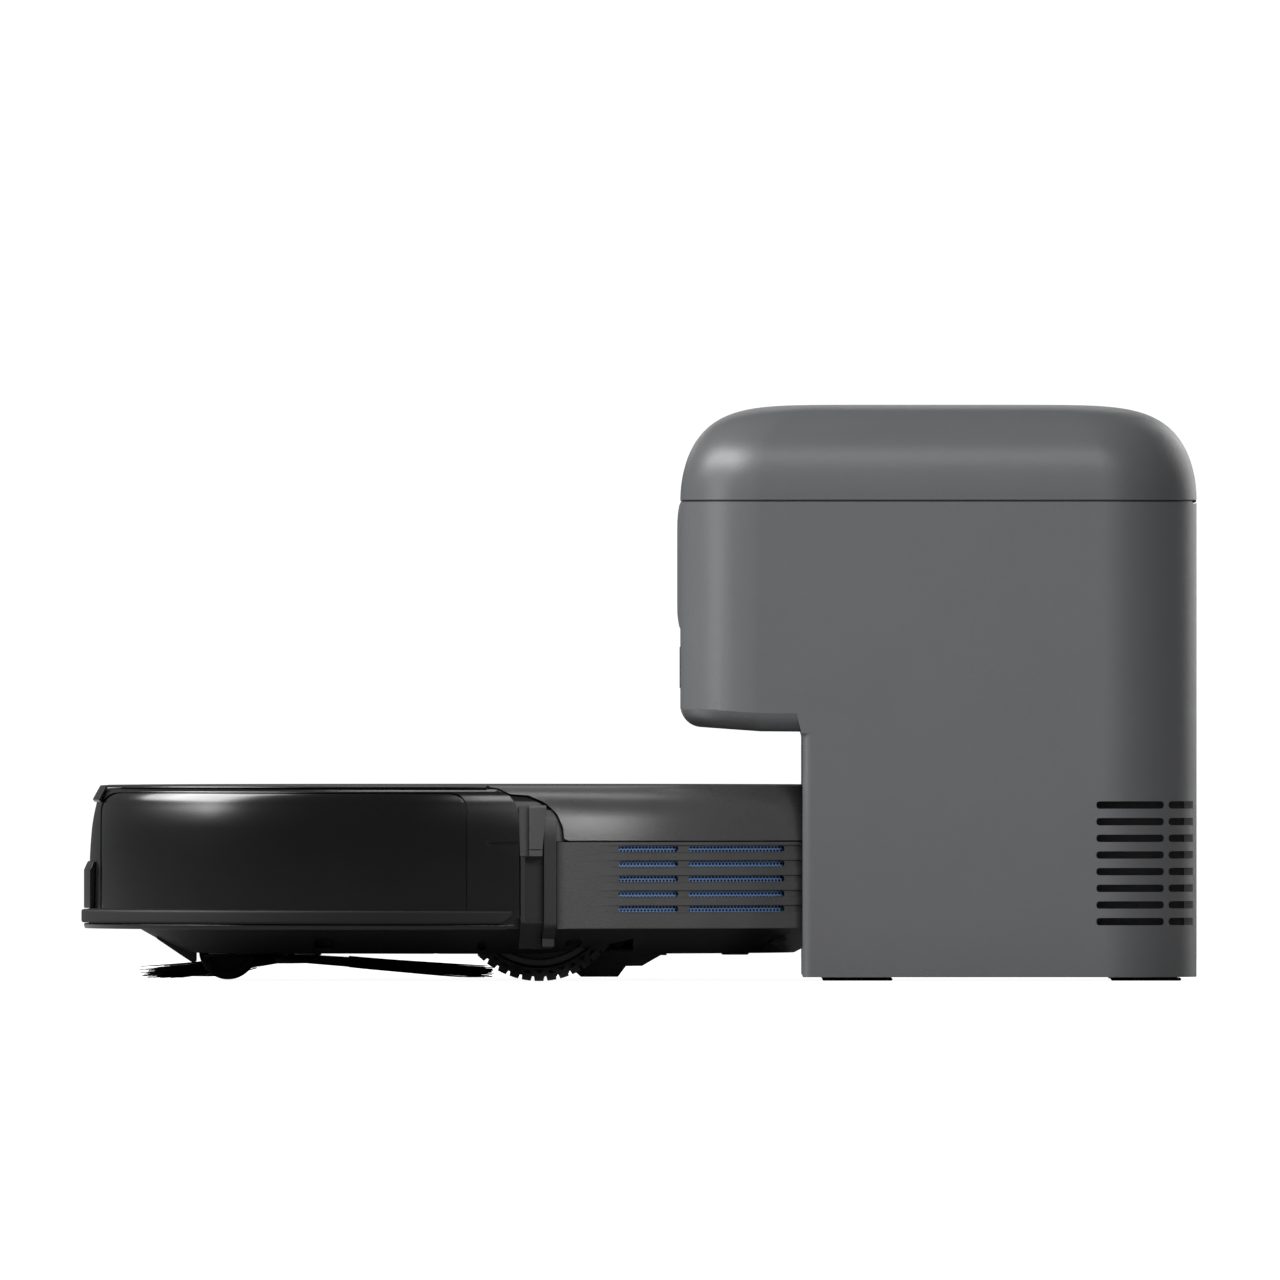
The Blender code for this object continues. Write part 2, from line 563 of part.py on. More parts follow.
def dock_lid():
    """A crowned cover: the plan outline shrunk ring by ring along a rounded shoulder, with a hollow underside."""
    middle = (DOCK_FRONT_X + DOCK_REAR_X) / 2
    bm = bmesh.new()

    def ring(share, height, inset):
        verts = []
        for x, y in dock_outline(inset):
            verts.append(bm.verts.new((middle + (x - middle) * share, y * share, height)))
        return verts

    def crown(share, rise):
        return rise * (1 - share**7.6) ** 0.5

    base = SEAM_Z + GAP
    shares = (1.0, 0.99, 0.967, 0.94, 0.905, 0.86, 0.8, 0.7, 0.5, 0.2)
    rings = [ring(share, base + crown(share, DOCK_TOP_Z - base), 0) for share in shares]
    inside = (0.2, 0.5, 0.75, 0.88, 0.95, 1.0)
    rings.insert(0, ring(1.0, base, DOCK_WALL))
    for near, far in zip(rings, rings[1:]):
        bridge(bm, near, far)
    bm.faces.new(rings[-1])
    under = [ring(share, base + crown(share, DOCK_TOP_Z - base - DOCK_WALL), DOCK_WALL) for share in inside[:-1]]
    under.append(rings[0])
    for near, far in zip(under, under[1:]):
        bridge(bm, near, far)
    bm.faces.new(under[0])
    hinge = (HINGE_AT[0], 0, HINGE_AT[1])
    lid = finish("dock_lid", bm, "dock", hinge)
    pin_way = turned("lid_pin_way", [(0, 76), (1.0, 76), (1.0, -76), (0, -76)], None, hinge, 12, RIGHT)
    boolean(lid, pin_way)
    turned("lid_hinge_pin", [(0, 74), (0.65, 74), (0.65, -74), (0, -74)], "steel", hinge, 10, RIGHT)


def bridge(bm, near, far):
    for i, vert in enumerate(near):
        after = (i + 1) % len(near)
        bm.faces.new((vert, near[after], far[after], far[i]))


def dock_base():
    """The floor plate, whose tongue fills the berth, with a raised block that guides the charging contacts."""
    tongue_r = BERTH_R - 0.5
    reach = math.degrees(math.acos((DOCK_LOWER_X + 0.2 - ROBOT_X) / tongue_r))
    waist_y = 99.8
    waist = math.degrees(math.asin(waist_y / tongue_r))
    front = arc((ROBOT_X, 0), tongue_r, -reach, -waist, 3)
    rear_x = DOCK_REAR_X - DOCK_WALL - 0.3
    corner = REAR_CORNER_R - DOCK_WALL - 0.3
    half = DOCK_HALF_Y - DOCK_WALL - 0.3
    plate = front + [(112.4, -waist_y), (112.4, -half)]
    plate += arc((rear_x - corner, corner - half), corner, 270, 360, 6)
    plate += arc((rear_x - corner, half - corner), corner, 0, 90, 6)
    plate += [(112.4, half), (112.4, waist_y)] + [(x, -y) for x, y in reversed(front)]
    base = prism("dock_base", plate, DOCK_BOTTOM_Z, 4.5, "dock")
    x, y = CONTACT_AT
    boolean(base, box("contact_block", (76, -44, 3), (100, 44, 9.0), None), "UNION")
    for name, side in SIDES:
        boolean(base, rod(f"contact_bore_{name}", 3.6, 4.0, 12, None, x, side * y, 16))
        pin = [(0, 20.5), (2.2, 20.5), (3.2, 19.0), (3.2, 6.2), (0, 6.2)]
        turned(f"charging_contact_{name}", pin, "steel", (x, side * y, 0), 16)
        for end, near in (("front", 75.9), ("rear", 194.8)):
            low, high = sorted((side * 62, side * 92))
            foot = box(f"foot_{end}_{name}", (near, low, 0), (near + 28.9, high, DOCK_BOTTOM_Z - GAP), "rubber")
            bevelled(foot, 0.4, 1)


def dock_inside():
    bevelled(box("dust_bag", (34, -88, 127), (214, 88, 188), "filter"), 16, 3, 30)
    pipe = [(0, 26.5), (13.5, 26.5), (13.5, 125.8), (16, 125.8), (16, 24), (0, 24)]
    duct = turned("suction_duct", pipe, "inner", (133, 0, 0), 24)
    boolean(duct, box("duct_mouth", (112, -11, 33), (126, 11, 49), None))
    seal = box("port_seal", (106.6, -26.6, 28.4), (111.6, 26.6, 53.6), "rubber")
    boolean(seal, box("seal_mouth", (100, -23.5, 30.8), (115, 23.5, 51.2), None))
    fan = [(0, 88), (20, 88), (20, 84), (34, 82), (36, 76), (36, 12), (30, 5), (0, 5)]
    turned("dock_fan_motor", fan, "inner", (188, 22, 0), 28)
    inlet = box("power_inlet", (212, -72, 20), (230.0, -44, 40), "inner")
    boolean(inlet, box("inlet_mouth", (217, -68, 24), (240, -48, 36), None))


chassis()
bumper()
top()
sides()
dust_bin()
for wheel_name, wheel_side in SIDES:
    drive_wheel(wheel_name, wheel_side)
caster()
side_brush()
main_brush()
inner_parts()
dock_body()
dock_lid()
dock_base()
dock_inside()
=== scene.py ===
"""The looks of a round robot vacuum parked in its emptying dock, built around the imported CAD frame.

Shapes are drawn in millimetres in the frame's own axes: +X from the robot's front to the dock's rear, +Z up.
"""

import json
import math
import random

import bmesh
import bpy
from mathutils import Matrix, Vector

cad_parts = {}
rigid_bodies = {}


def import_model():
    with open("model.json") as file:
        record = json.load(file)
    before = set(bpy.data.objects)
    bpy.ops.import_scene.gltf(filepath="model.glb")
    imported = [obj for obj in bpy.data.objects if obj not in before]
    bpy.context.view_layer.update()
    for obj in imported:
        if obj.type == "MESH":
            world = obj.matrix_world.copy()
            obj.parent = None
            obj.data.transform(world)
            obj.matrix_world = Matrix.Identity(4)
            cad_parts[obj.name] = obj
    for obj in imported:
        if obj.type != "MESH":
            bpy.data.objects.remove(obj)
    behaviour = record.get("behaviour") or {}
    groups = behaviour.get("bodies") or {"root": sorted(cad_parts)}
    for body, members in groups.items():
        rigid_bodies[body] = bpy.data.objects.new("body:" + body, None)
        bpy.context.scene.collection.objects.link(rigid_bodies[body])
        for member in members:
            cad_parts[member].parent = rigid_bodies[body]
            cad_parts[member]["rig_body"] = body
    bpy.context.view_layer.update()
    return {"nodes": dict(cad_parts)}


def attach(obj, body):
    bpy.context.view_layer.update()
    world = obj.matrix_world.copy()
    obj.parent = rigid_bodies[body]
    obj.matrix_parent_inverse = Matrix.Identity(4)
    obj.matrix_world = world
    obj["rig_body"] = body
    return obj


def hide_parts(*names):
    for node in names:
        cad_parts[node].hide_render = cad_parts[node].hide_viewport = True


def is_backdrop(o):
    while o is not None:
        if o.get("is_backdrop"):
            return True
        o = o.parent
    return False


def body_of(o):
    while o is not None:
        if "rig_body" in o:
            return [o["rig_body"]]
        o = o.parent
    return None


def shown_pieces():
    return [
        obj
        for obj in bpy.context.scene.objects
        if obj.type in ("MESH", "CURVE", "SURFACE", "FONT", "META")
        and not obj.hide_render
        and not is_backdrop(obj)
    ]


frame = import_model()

MM = 0.001
SIDES = (("left", -1), ("right", 1))
ROBOT_X = -61.7                 # the robot's upright axis
BODY_R = 165.0                  # its side wall
CASTER_X = -163.5               # the caster's swivel axis
BRUSH_AT = (-147.0, 98.0)       # the side brush's shaft
HINGE_AT = (229.4, 0, 197.6)    # the lid's hinge pin
CAMERA_AT = (0.8, -23520.0, 140.3)
LENS = 1600                     # long, so that the view is almost without perspective
LIGHTS_AIM_Z = 0.1              # metres
ROW_SHARE = 0.97                # height of one row of the mesh's dots, as a share of their pitch


# ---- materials
def add_node(tree, kind, **settings):
    """A new shader node. Each setting is an input's value, or else an attribute."""
    node = tree.nodes.new(kind)
    for key, value in settings.items():
        if key in node.inputs:
            node.inputs[key].default_value = value
        else:
            setattr(node, key, value)
    return node


def surface(name, colour, rough, grain=0.5, bump=0.1, vary=0.08, mottle=0.1, wear=0.0, coat=0.0, metal=0.0,
            sheen=0.0, stretch=(1, 1, 1), specular=0.5, coat_rough=0.05, spots=0.0):
    """A moulded or worked surface: fine grain of the given size in mm, uneven gloss and paler edges."""
    material = bpy.data.materials.new(name)
    material.use_nodes = True
    tree = material.node_tree
    link = tree.links.new
    shader = tree.nodes["Principled BSDF"]
    for key, value in (("Metallic", metal), ("Coat Weight", coat), ("Coat Roughness", coat_rough),
                       ("Sheen Weight", sheen), ("Specular IOR Level", specular)):
        shader.inputs[key].default_value = value
    place = add_node(tree, "ShaderNodeTexCoord")
    scale = add_node(tree, "ShaderNodeMapping", Scale=stretch)
    link(place.outputs["Object"], scale.inputs["Vector"])
    fine = add_node(tree, "ShaderNodeTexNoise", Scale=1000 / grain, Detail=3.0, Roughness=0.6)
    broad = add_node(tree, "ShaderNodeTexNoise", Scale=28.0, Detail=5.0, Roughness=0.6)
    link(scale.outputs["Vector"], fine.inputs["Vector"])
    link(place.outputs["Object"], broad.inputs["Vector"])
    span = {"To Min": max(rough - vary, 0.02), "To Max": min(rough + vary, 1.0)}
    gloss = add_node(tree, "ShaderNodeMapRange", **span)
    blend = add_node(tree, "ShaderNodeMix", data_type="FLOAT")
    blend.inputs[0].default_value = 0.4
    link(broad.outputs["Fac"], blend.inputs[2])
    link(fine.outputs["Fac"], blend.inputs[3])
    link(blend.outputs[0], gloss.inputs["Value"])
    link(gloss.outputs["Result"], shader.inputs["Roughness"])
    tone = add_node(tree, "ShaderNodeValToRGB")
    tone.color_ramp.elements[0].position = 0.3
    tone.color_ramp.elements[1].position = 0.7
    tone.color_ramp.elements[0].color = (*[part * (1 - mottle) for part in colour], 1)
    tone.color_ramp.elements[1].color = (*[min(part * (1 + mottle), 1) for part in colour], 1)
    link(blend.outputs[0], tone.inputs["Fac"])
    edges = add_node(tree, "ShaderNodeNewGeometry")
    rubbed = add_node(tree, "ShaderNodeMapRange", **{"From Min": 0.52, "From Max": 0.62, "To Max": wear})
    paler = add_node(tree, "ShaderNodeMix", data_type="RGBA")
    link(edges.outputs["Pointiness"], rubbed.inputs["Value"])
    link(rubbed.outputs["Result"], paler.inputs[0])
    link(tone.outputs["Color"], paler.inputs[6])
    paler.inputs[7].default_value = (*[min(part * 2.2 + 0.02, 1) for part in colour], 1)
    last = paler.outputs[2]
    if spots:
        dust = add_node(tree, "ShaderNodeTexVoronoi", Scale=190.0)
        link(place.outputs["Object"], dust.inputs["Vector"])
        speck = add_node(tree, "ShaderNodeMapRange", **{"From Min": 0.06, "From Max": 0.0, "To Max": spots})
        link(dust.outputs["Distance"], speck.inputs["Value"])
        dusty = add_node(tree, "ShaderNodeMix", data_type="RGBA")
        dusty.inputs[7].default_value = (0.2, 0.2, 0.2, 1)
        link(speck.outputs["Result"], dusty.inputs[0])
        link(last, dusty.inputs[6])
        last = dusty.outputs[2]
    link(last, shader.inputs["Base Color"])
    relief = add_node(tree, "ShaderNodeBump", Strength=bump, Distance=grain * 0.35 * MM)
    link(fine.outputs["Fac"], relief.inputs["Height"])
    link(relief.outputs["Normal"], shader.inputs["Normal"])
    return material


def perforated(material, pitch, hole):
    """Paint staggered rows of small round dots near black, laid out along the wall's width and height:
    painted shade for the dark inside seen through the mesh's holes, which are not cut.
    """
    tree = material.node_tree
    link = tree.links.new
    shader = tree.nodes["Principled BSDF"]
    base = shader.inputs["Base Color"].links[0].from_socket
    place = add_node(tree, "ShaderNodeTexCoord")
    parts = add_node(tree, "ShaderNodeSeparateXYZ")
    link(place.outputs["Object"], parts.inputs["Vector"])

    def maths(operation, first, second=None):
        node = add_node(tree, "ShaderNodeMath", operation=operation)
        for socket, value in zip(node.inputs, (first, second)):
            if isinstance(value, (int, float)):
                socket.default_value = value
            elif value is not None:
                link(value, socket)
        return node.outputs[0]

    rows = maths("DIVIDE", parts.outputs["Z"], pitch * ROW_SHARE * MM)
    row = maths("FLOOR", rows)
    shift = maths("MULTIPLY", maths("MODULO", row, 2.0), 0.5)
    columns = maths("ADD", maths("DIVIDE", parts.outputs["X"], pitch * MM), shift)
    across = maths("SUBTRACT", maths("FRACT", columns), 0.5)
    up = maths("MULTIPLY", maths("SUBTRACT", maths("FRACT", rows), 0.5), ROW_SHARE)
    reach = maths("SQRT", maths("ADD", maths("MULTIPLY", across, across), maths("MULTIPLY", up, up)))
    inside = maths("LESS_THAN", reach, hole / pitch / 2)
    # painted shade: each dot's near-black colour stands in for the shade seen through a hole
    dark = add_node(tree, "ShaderNodeMix", data_type="RGBA")
    link(inside, dark.inputs[0])
    link(base, dark.inputs[6])
    dark.inputs[7].default_value = (0.004, 0.005, 0.009, 1)
    link(dark.outputs[2], shader.inputs["Base Color"])
    return material


CHASSIS = surface("chassis_black", (0.015, 0.015, 0.016), 0.42, grain=0.45, bump=0.35, wear=0.25)
BUMPER = surface("bumper_black", (0.006, 0.006, 0.0065), 0.22, grain=0.4, bump=0.06, vary=0.04, wear=0.2)
WINDOW = surface("smoked_window", (0.0035, 0.0035, 0.004), 0.2, grain=1.2, bump=0.02, vary=0.03, mottle=0.2,
                 coat=0.2, coat_rough=0.2)
SHELL = surface("shell_grey", (0.066, 0.066, 0.067), 0.29, grain=0.5, bump=0.3, wear=0.3)
PANEL = surface("panel_grey", (0.062, 0.0623, 0.0633), 0.55, grain=0.6, bump=1.0, vary=0.1, mottle=0.25,
                wear=0.3)
RUBBER = surface("rubber_black", (0.010, 0.010, 0.0104), 0.6, grain=0.3, bump=0.3, wear=0.2, specular=0.3)
TYRE = surface("wheel_tyre", (0.02, 0.02, 0.0205), 0.75, grain=0.35, bump=0.5, mottle=0.2, wear=0.4,
               spots=0.3)
MESH = perforated(surface("mesh_blue", (0.17, 0.31, 0.62), 0.38, grain=0.5, bump=0.2, metal=0.2), 1.40, 1.0)
BRISTLE = surface("bristle_black", (0.012, 0.012, 0.014), 0.45, grain=0.2, bump=0.2, mottle=0.3,
                  stretch=(1, 1, 0.2))
ROOT = surface("root_rubber", (0.012, 0.014, 0.024), 0.5, grain=0.3, bump=0.3, wear=0.2)
STEEL = surface("steel", (0.56, 0.56, 0.57), 0.26, grain=0.25, bump=0.15, metal=1.0, stretch=(1, 1, 12),
                mottle=0.06)
INNER = surface("inner_plastic", (0.075, 0.075, 0.08), 0.6, grain=0.5, bump=0.4, wear=0.3)
BOARD = surface("board_green", (0.02, 0.10, 0.04), 0.45, grain=0.8, bump=0.3, mottle=0.25)
FILTER = surface("filter_white", (0.72, 0.73, 0.74), 0.92, grain=0.9, bump=1.0, mottle=0.08, sheen=0.2)
DOCK = surface("dock_grey", (0.120, 0.122, 0.126), 0.31, grain=0.55, bump=0.45, vary=0.06, mottle=0.05,
               wear=0.12)


# ---- mesh tools
def arc(centre, radius, start, end, count):
    """Points along an arc, in degrees, both ends included."""
    points = []
    for i in range(count + 1):
        angle = math.radians(start + (end - start) * i / count)
        points.append((centre[0] + radius * math.cos(angle), centre[1] + radius * math.sin(angle)))
    return points


def rect(left, low, right, high):
    """The corners of a rectangle."""
    return [(left, low), (right, low), (right, high), (left, high)]


def fillet(points, radius, count=4):
    """Round each corner of a closed outline. A point's third number, where it has one, is its own radius."""
    made = []
    for i, point in enumerate(points):
        wanted = point[2] if len(point) > 2 else radius
        here = Vector(point[:2])
        before = Vector(points[i - 1][:2]) - here
        after = Vector(points[(i + 1) % len(points)][:2]) - here
        turn = before.angle(after)
        if wanted < 0.01 or turn > math.radians(172):
            made.append(tuple(here))
            continue
        back = min(wanted / math.tan(turn / 2), before.length * 0.48, after.length * 0.48)
        first = here + before.normalized() * back
        last = here + after.normalized() * back
        for step in range(count + 1):
            share = step / count
            made.append(tuple(first * (1 - share) ** 2 + here * 2 * share * (1 - share) + last * share**2))
    return made


def flowing(points, count):
    """A smooth curve through the points, `count` steps between each two."""
    made = []
    for i in range(len(points) - 1):
        a, b, c, d = [Vector(points[min(max(j, 0), len(points) - 1)]) for j in range(i - 1, i + 3)]
        for step in range(count):
            t = step / count
            bend = (2 * a - 5 * b + 4 * c - d) * t**2 + (3 * b - a - 3 * c + d) * t**3
            made.append(tuple((2 * b + (c - a) * t + bend) / 2))
    return made + [tuple(points[-1])]


def to_object(name, bm, material, smooth_deg=38):
    """An object from a bmesh drawn in millimetres."""
    bmesh.ops.recalc_face_normals(bm, faces=bm.faces)
    bmesh.ops.scale(bm, vec=(MM, MM, MM), verts=bm.verts)
    mesh = bpy.data.meshes.new(name)
    bm.to_mesh(mesh)
    bm.free()
    mesh.shade_smooth()
    mesh.set_sharp_from_angle(angle=math.radians(smooth_deg))
    obj = bpy.data.objects.new(name, mesh)
    bpy.context.scene.collection.objects.link(obj)
    if material:
        mesh.materials.append(material)
    return obj


def bridge(bm, near, far):
    """Join two rings of vertices with a band of faces."""
    for i, vert in enumerate(near):
        after = (i + 1) % len(near)
        bm.faces.new((vert, near[after], far[after], far[i]))


def stacked(name, rings, material, smooth_deg=38):
    """A closed solid through rings of (x, y, z) points, capped at both ends."""
    bm = bmesh.new()
    loops = [[bm.verts.new(point) for point in ring] for ring in rings]
    for near, far in zip(loops, loops[1:]):
        bridge(bm, near, far)
    bm.faces.new(loops[0])
    bm.faces.new(loops[-1])
    return to_object(name, bm, material, smooth_deg)


def around(profile, degrees):
    """The (radius, height) profile as points at an angle from +X about the robot's axis."""
    angle = math.radians(degrees)
    return [(ROBOT_X + r * math.cos(angle), r * math.sin(angle), z) for r, z in profile]


def sector(name, profile, degrees, material, step=1.5):
    """A ring sector about the robot's axis: the (radius, height) profile swept between two angles from +X."""
    first, last = degrees
    count = max(2, round(abs(last - first) / step))
    rings = [around(profile, first + (last - first) * i / count) for i in range(count + 1)]
    return stacked(name, rings, material)


def turned(name, profile, material, at=(0, 0, 0), steps=96, facing=None):
    """A solid of revolution about Z, or about Y towards `facing`, from a closed (radius, height) profile."""
    bm = bmesh.new()
    loops = []
    for radius, height in profile:
        loop = []
        count = 1 if radius < 0.001 else steps
        for i in range(count):
            angle = math.tau * i / steps
            x, y, z = radius * math.cos(angle), radius * math.sin(angle), height
            if facing is not None:
                x, y, z = x, facing * z, y
            loop.append(bm.verts.new((at[0] + x, at[1] + y, at[2] + z)))
        loops.append(loop)
    ends = list(zip(loops, loops[1:]))
    if len(loops[0]) > 1:
        ends.append((loops[-1], loops[0]))
    for near, far in ends:
        if len(near) == len(far) == 1:
            continue
        for i in range(steps):
            after = (i + 1) % steps
            corners = [near[i % len(near)], near[after % len(near)], far[after % len(far)], far[i % len(far)]]
            bm.faces.new(list(dict.fromkeys(corners)))
    return to_object(name, bm, material)


def prism(name, outline, low, high, material=None, along="Z"):
    """An outline, of (x, y) extruded along Z or of (x, z) extruded along Y, from low to high."""
    if along == "Z":
        rings = [[(x, y, end) for x, y in outline] for end in (low, high)]
    else:
        rings = [[(x, end, z) for x, z in outline] for end in (low, high)]
    return stacked(name, rings, material)


def box(name, low, high):
    """A plain block between two opposite corners, for cutting."""
    return prism(name, rect(*low[:2], *high[:2]), low[2], high[2])


def bake(obj, smooth_deg=38):
    """Apply the object's modifiers to its mesh."""
    graph = bpy.context.evaluated_depsgraph_get()
    mesh = bpy.data.meshes.new_from_object(obj.evaluated_get(graph))
    obj.modifiers.clear()
    obj.data = mesh
    mesh.shade_smooth()
    mesh.set_sharp_from_angle(angle=math.radians(smooth_deg))
    return obj


def cut(obj, cutters, operation="DIFFERENCE"):
    """Apply exact booleans and remove the cutters."""
    for other in cutters:
        modifier = obj.modifiers.new(other.name, "BOOLEAN")
        modifier.operation = operation
        modifier.solver = "EXACT"
        modifier.object = other
    bake(obj)
    for other in cutters:
        bpy.data.objects.remove(other)
    return obj


def soften(obj, width, segments=2, limit_deg=42, smooth_deg=50):
    """Round the object's sharp edges."""
    modifier = obj.modifiers.new("edges", "BEVEL")
    modifier.width = width * MM
    modifier.segments = segments
    modifier.limit_method = "ANGLE"
    modifier.angle_limit = math.radians(limit_deg)
    modifier.miter_outer = "MITER_ARC"
    modifier.use_clamp_overlap = True
    return bake(obj, smooth_deg)


def put(obj, body, slot, *nodes, curved=False):
    """Shade a piece evenly and fix it to its body, in place of the CAD nodes it stands for."""
    even = obj.modifiers.new("even_shading", "WEIGHTED_NORMAL")
    even.keep_sharp = True
    even.weight = 50 if curved else 60
    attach(obj, body)
    if nodes:
        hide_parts(*nodes)


# ---- camera, floor and light
HALVES = {half: bpy.data.collections.new(f"{half}_half") for half in ("robot", "dock")}


def sort_halves():
    """The dark robot and the grey dock are lit separately, as with flags between the lights."""
    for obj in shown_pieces():
        half = "dock" if body_of(obj)[0] in ("dock", "lid", "contact_left", "contact_right") else "robot"
        HALVES[half].objects.link(obj)


def studio():
    camera = bpy.data.objects.new("camera", bpy.data.cameras.new("camera"))
    bpy.context.scene.collection.objects.link(camera)
    camera.data.lens = LENS
    camera.data.sensor_width = 36
    camera.data.clip_end = 200
    camera.location = [part * MM for part in CAMERA_AT]
    camera.rotation_euler = (math.pi / 2, 0, 0)
    bpy.context.scene.camera = camera
    bpy.context.scene.view_settings.view_transform = "Standard"

    floor = turned("floor", [(0, 0), (1600, 0), (1600, -1), (0, -1)], None)
    floor.location.z = -0.0002
    ground = bpy.data.materials.new("floor")
    ground.use_nodes = True
    tree = ground.node_tree
    shader = tree.nodes["Principled BSDF"]
    shader.inputs["Base Color"].default_value = (0.30, 0.30, 0.30, 1)
    shader.inputs["Roughness"].default_value = 0.9
    shader.inputs["Specular IOR Level"].default_value = 0.0
    shader.inputs["Emission Color"].default_value = (1, 1, 1, 1)
    rays = add_node(tree, "ShaderNodeLightPath")
    lift = add_node(tree, "ShaderNodeMath", operation="MULTIPLY")
    lift.inputs[1].default_value = 0.96
    tree.links.new(rays.outputs["Is Camera Ray"], lift.inputs[0])
    tree.links.new(lift.outputs[0], shader.inputs["Emission Strength"])
    floor.data.materials.append(ground)
    floor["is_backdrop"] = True
    HALVES["robot"].objects.link(floor)

    world = bpy.data.worlds.new("studio")
    bpy.context.scene.world = world
    world.use_nodes = True
    tree = world.node_tree
    seen = add_node(tree, "ShaderNodeBackground", Strength=1.05)
    seen.inputs["Color"].default_value = (1, 1, 1, 1)
    dim = tree.nodes["Background"]
    dim.inputs["Color"].default_value = (0.97, 0.985, 1, 1)
    dim.inputs["Strength"].default_value = 0.12
    rays = add_node(tree, "ShaderNodeLightPath")
    pick = add_node(tree, "ShaderNodeMixShader")
    tree.links.new(rays.outputs["Is Camera Ray"], pick.inputs["Fac"])
    tree.links.new(dim.outputs["Background"], pick.inputs[1])
    tree.links.new(seen.outputs["Background"], pick.inputs[2])
    tree.links.new(pick.outputs["Shader"], tree.nodes["World Output"].inputs["Surface"])

    soft_box("left_high", "robot", 98, 33, 2.4, (1.3, 1.3), 33)
    soft_box("left", "robot", 106, 27, 2.4, (1.6, 1.0), 32)
    soft_box("front", "robot", -4, 38, 2.6, (0.9, 0.75), 16)
    soft_box("shell", "robot", -28, 24, 2.6, (1.1, 0.5), 25)
    soft_box("top", "robot", 180, 84, 2.4, (2.2, 0.5), 17)
    soft_box("dock_key", "dock", 63, 9, 2.6, (1.3, 1.2), 14)
    soft_box("dock_front", "dock", 4, 12, 3.0, (2.8, 1.8), 12)
    soft_box("dock_strip", "dock", 12, 46, 2.6, (2.3, 0.4), 17)
    soft_box("dock_left", "dock", 60, 46, 2.6, (1.5, 0.6), 46)
    soft_box("dock_high", "dock", 95, 38, 2.6, (0.7, 0.8), 20)
    soft_box("dock_top", "dock", 180, 16, 2.6, (2.6, 0.4), 3.2)
    soft_box("back", "robot", 195, 35, 2.6, (2.4, 1.2), 4)
    soft_box("rear", None, 218, 16, 2.8, (2.0, 1.6), 16)


def soft_box(name, lit, azimuth, elevation, distance, size, power):
    """An area light aimed at the object. Azimuth 0 is the camera's side, -Y, and 90 is the robot's front, -X.
    `lit` names the half of the object, robot or dock, that it is kept to."""
    light = bpy.data.lights.new(name, "AREA")
    light.shape = "RECTANGLE"
    light.size, light.size_y = size
    light.energy = power
    obj = bpy.data.objects.new(name, light)
    bpy.context.scene.collection.objects.link(obj)
    turn, rise = math.radians(azimuth), math.radians(elevation)
    away = Vector((-math.sin(turn) * math.cos(rise), -math.cos(turn) * math.cos(rise), math.sin(rise)))
    obj.location = away * distance + Vector((0, 0, LIGHTS_AIM_Z))
    obj.rotation_euler = away.to_track_quat("Z", "Y").to_euler()
    if lit:
        obj.light_linking.receiver_collection = HALVES[lit]
    if lit == "dock":
        obj.light_linking.blocker_collection = HALVES[lit]


# ---- robot shells
WINDOW_FACE = [(160.55, 77.2), (161.1, 76.2), (161.75, 74.4), (162.25, 72.3), (163.0, 69.0), (163.65, 65.5),
               (164.1, 62.0), (164.6, 56.0), (164.9, 50.0), (165.15, 40.0), (165.3, 29.5)]


def window_outline(grow):
    """The side window seen from its side, with rounded upper corners, grown on every side."""
    front, rear, low, high = -221.4 - grow, -70.6 + grow, 29.45 - grow * 0.6, 77.1 + grow
    return fillet([(front, low, 1.2), (rear, low, 0.8), (rear, high, 8.0), (front, high, 9.0)], 1, 10)


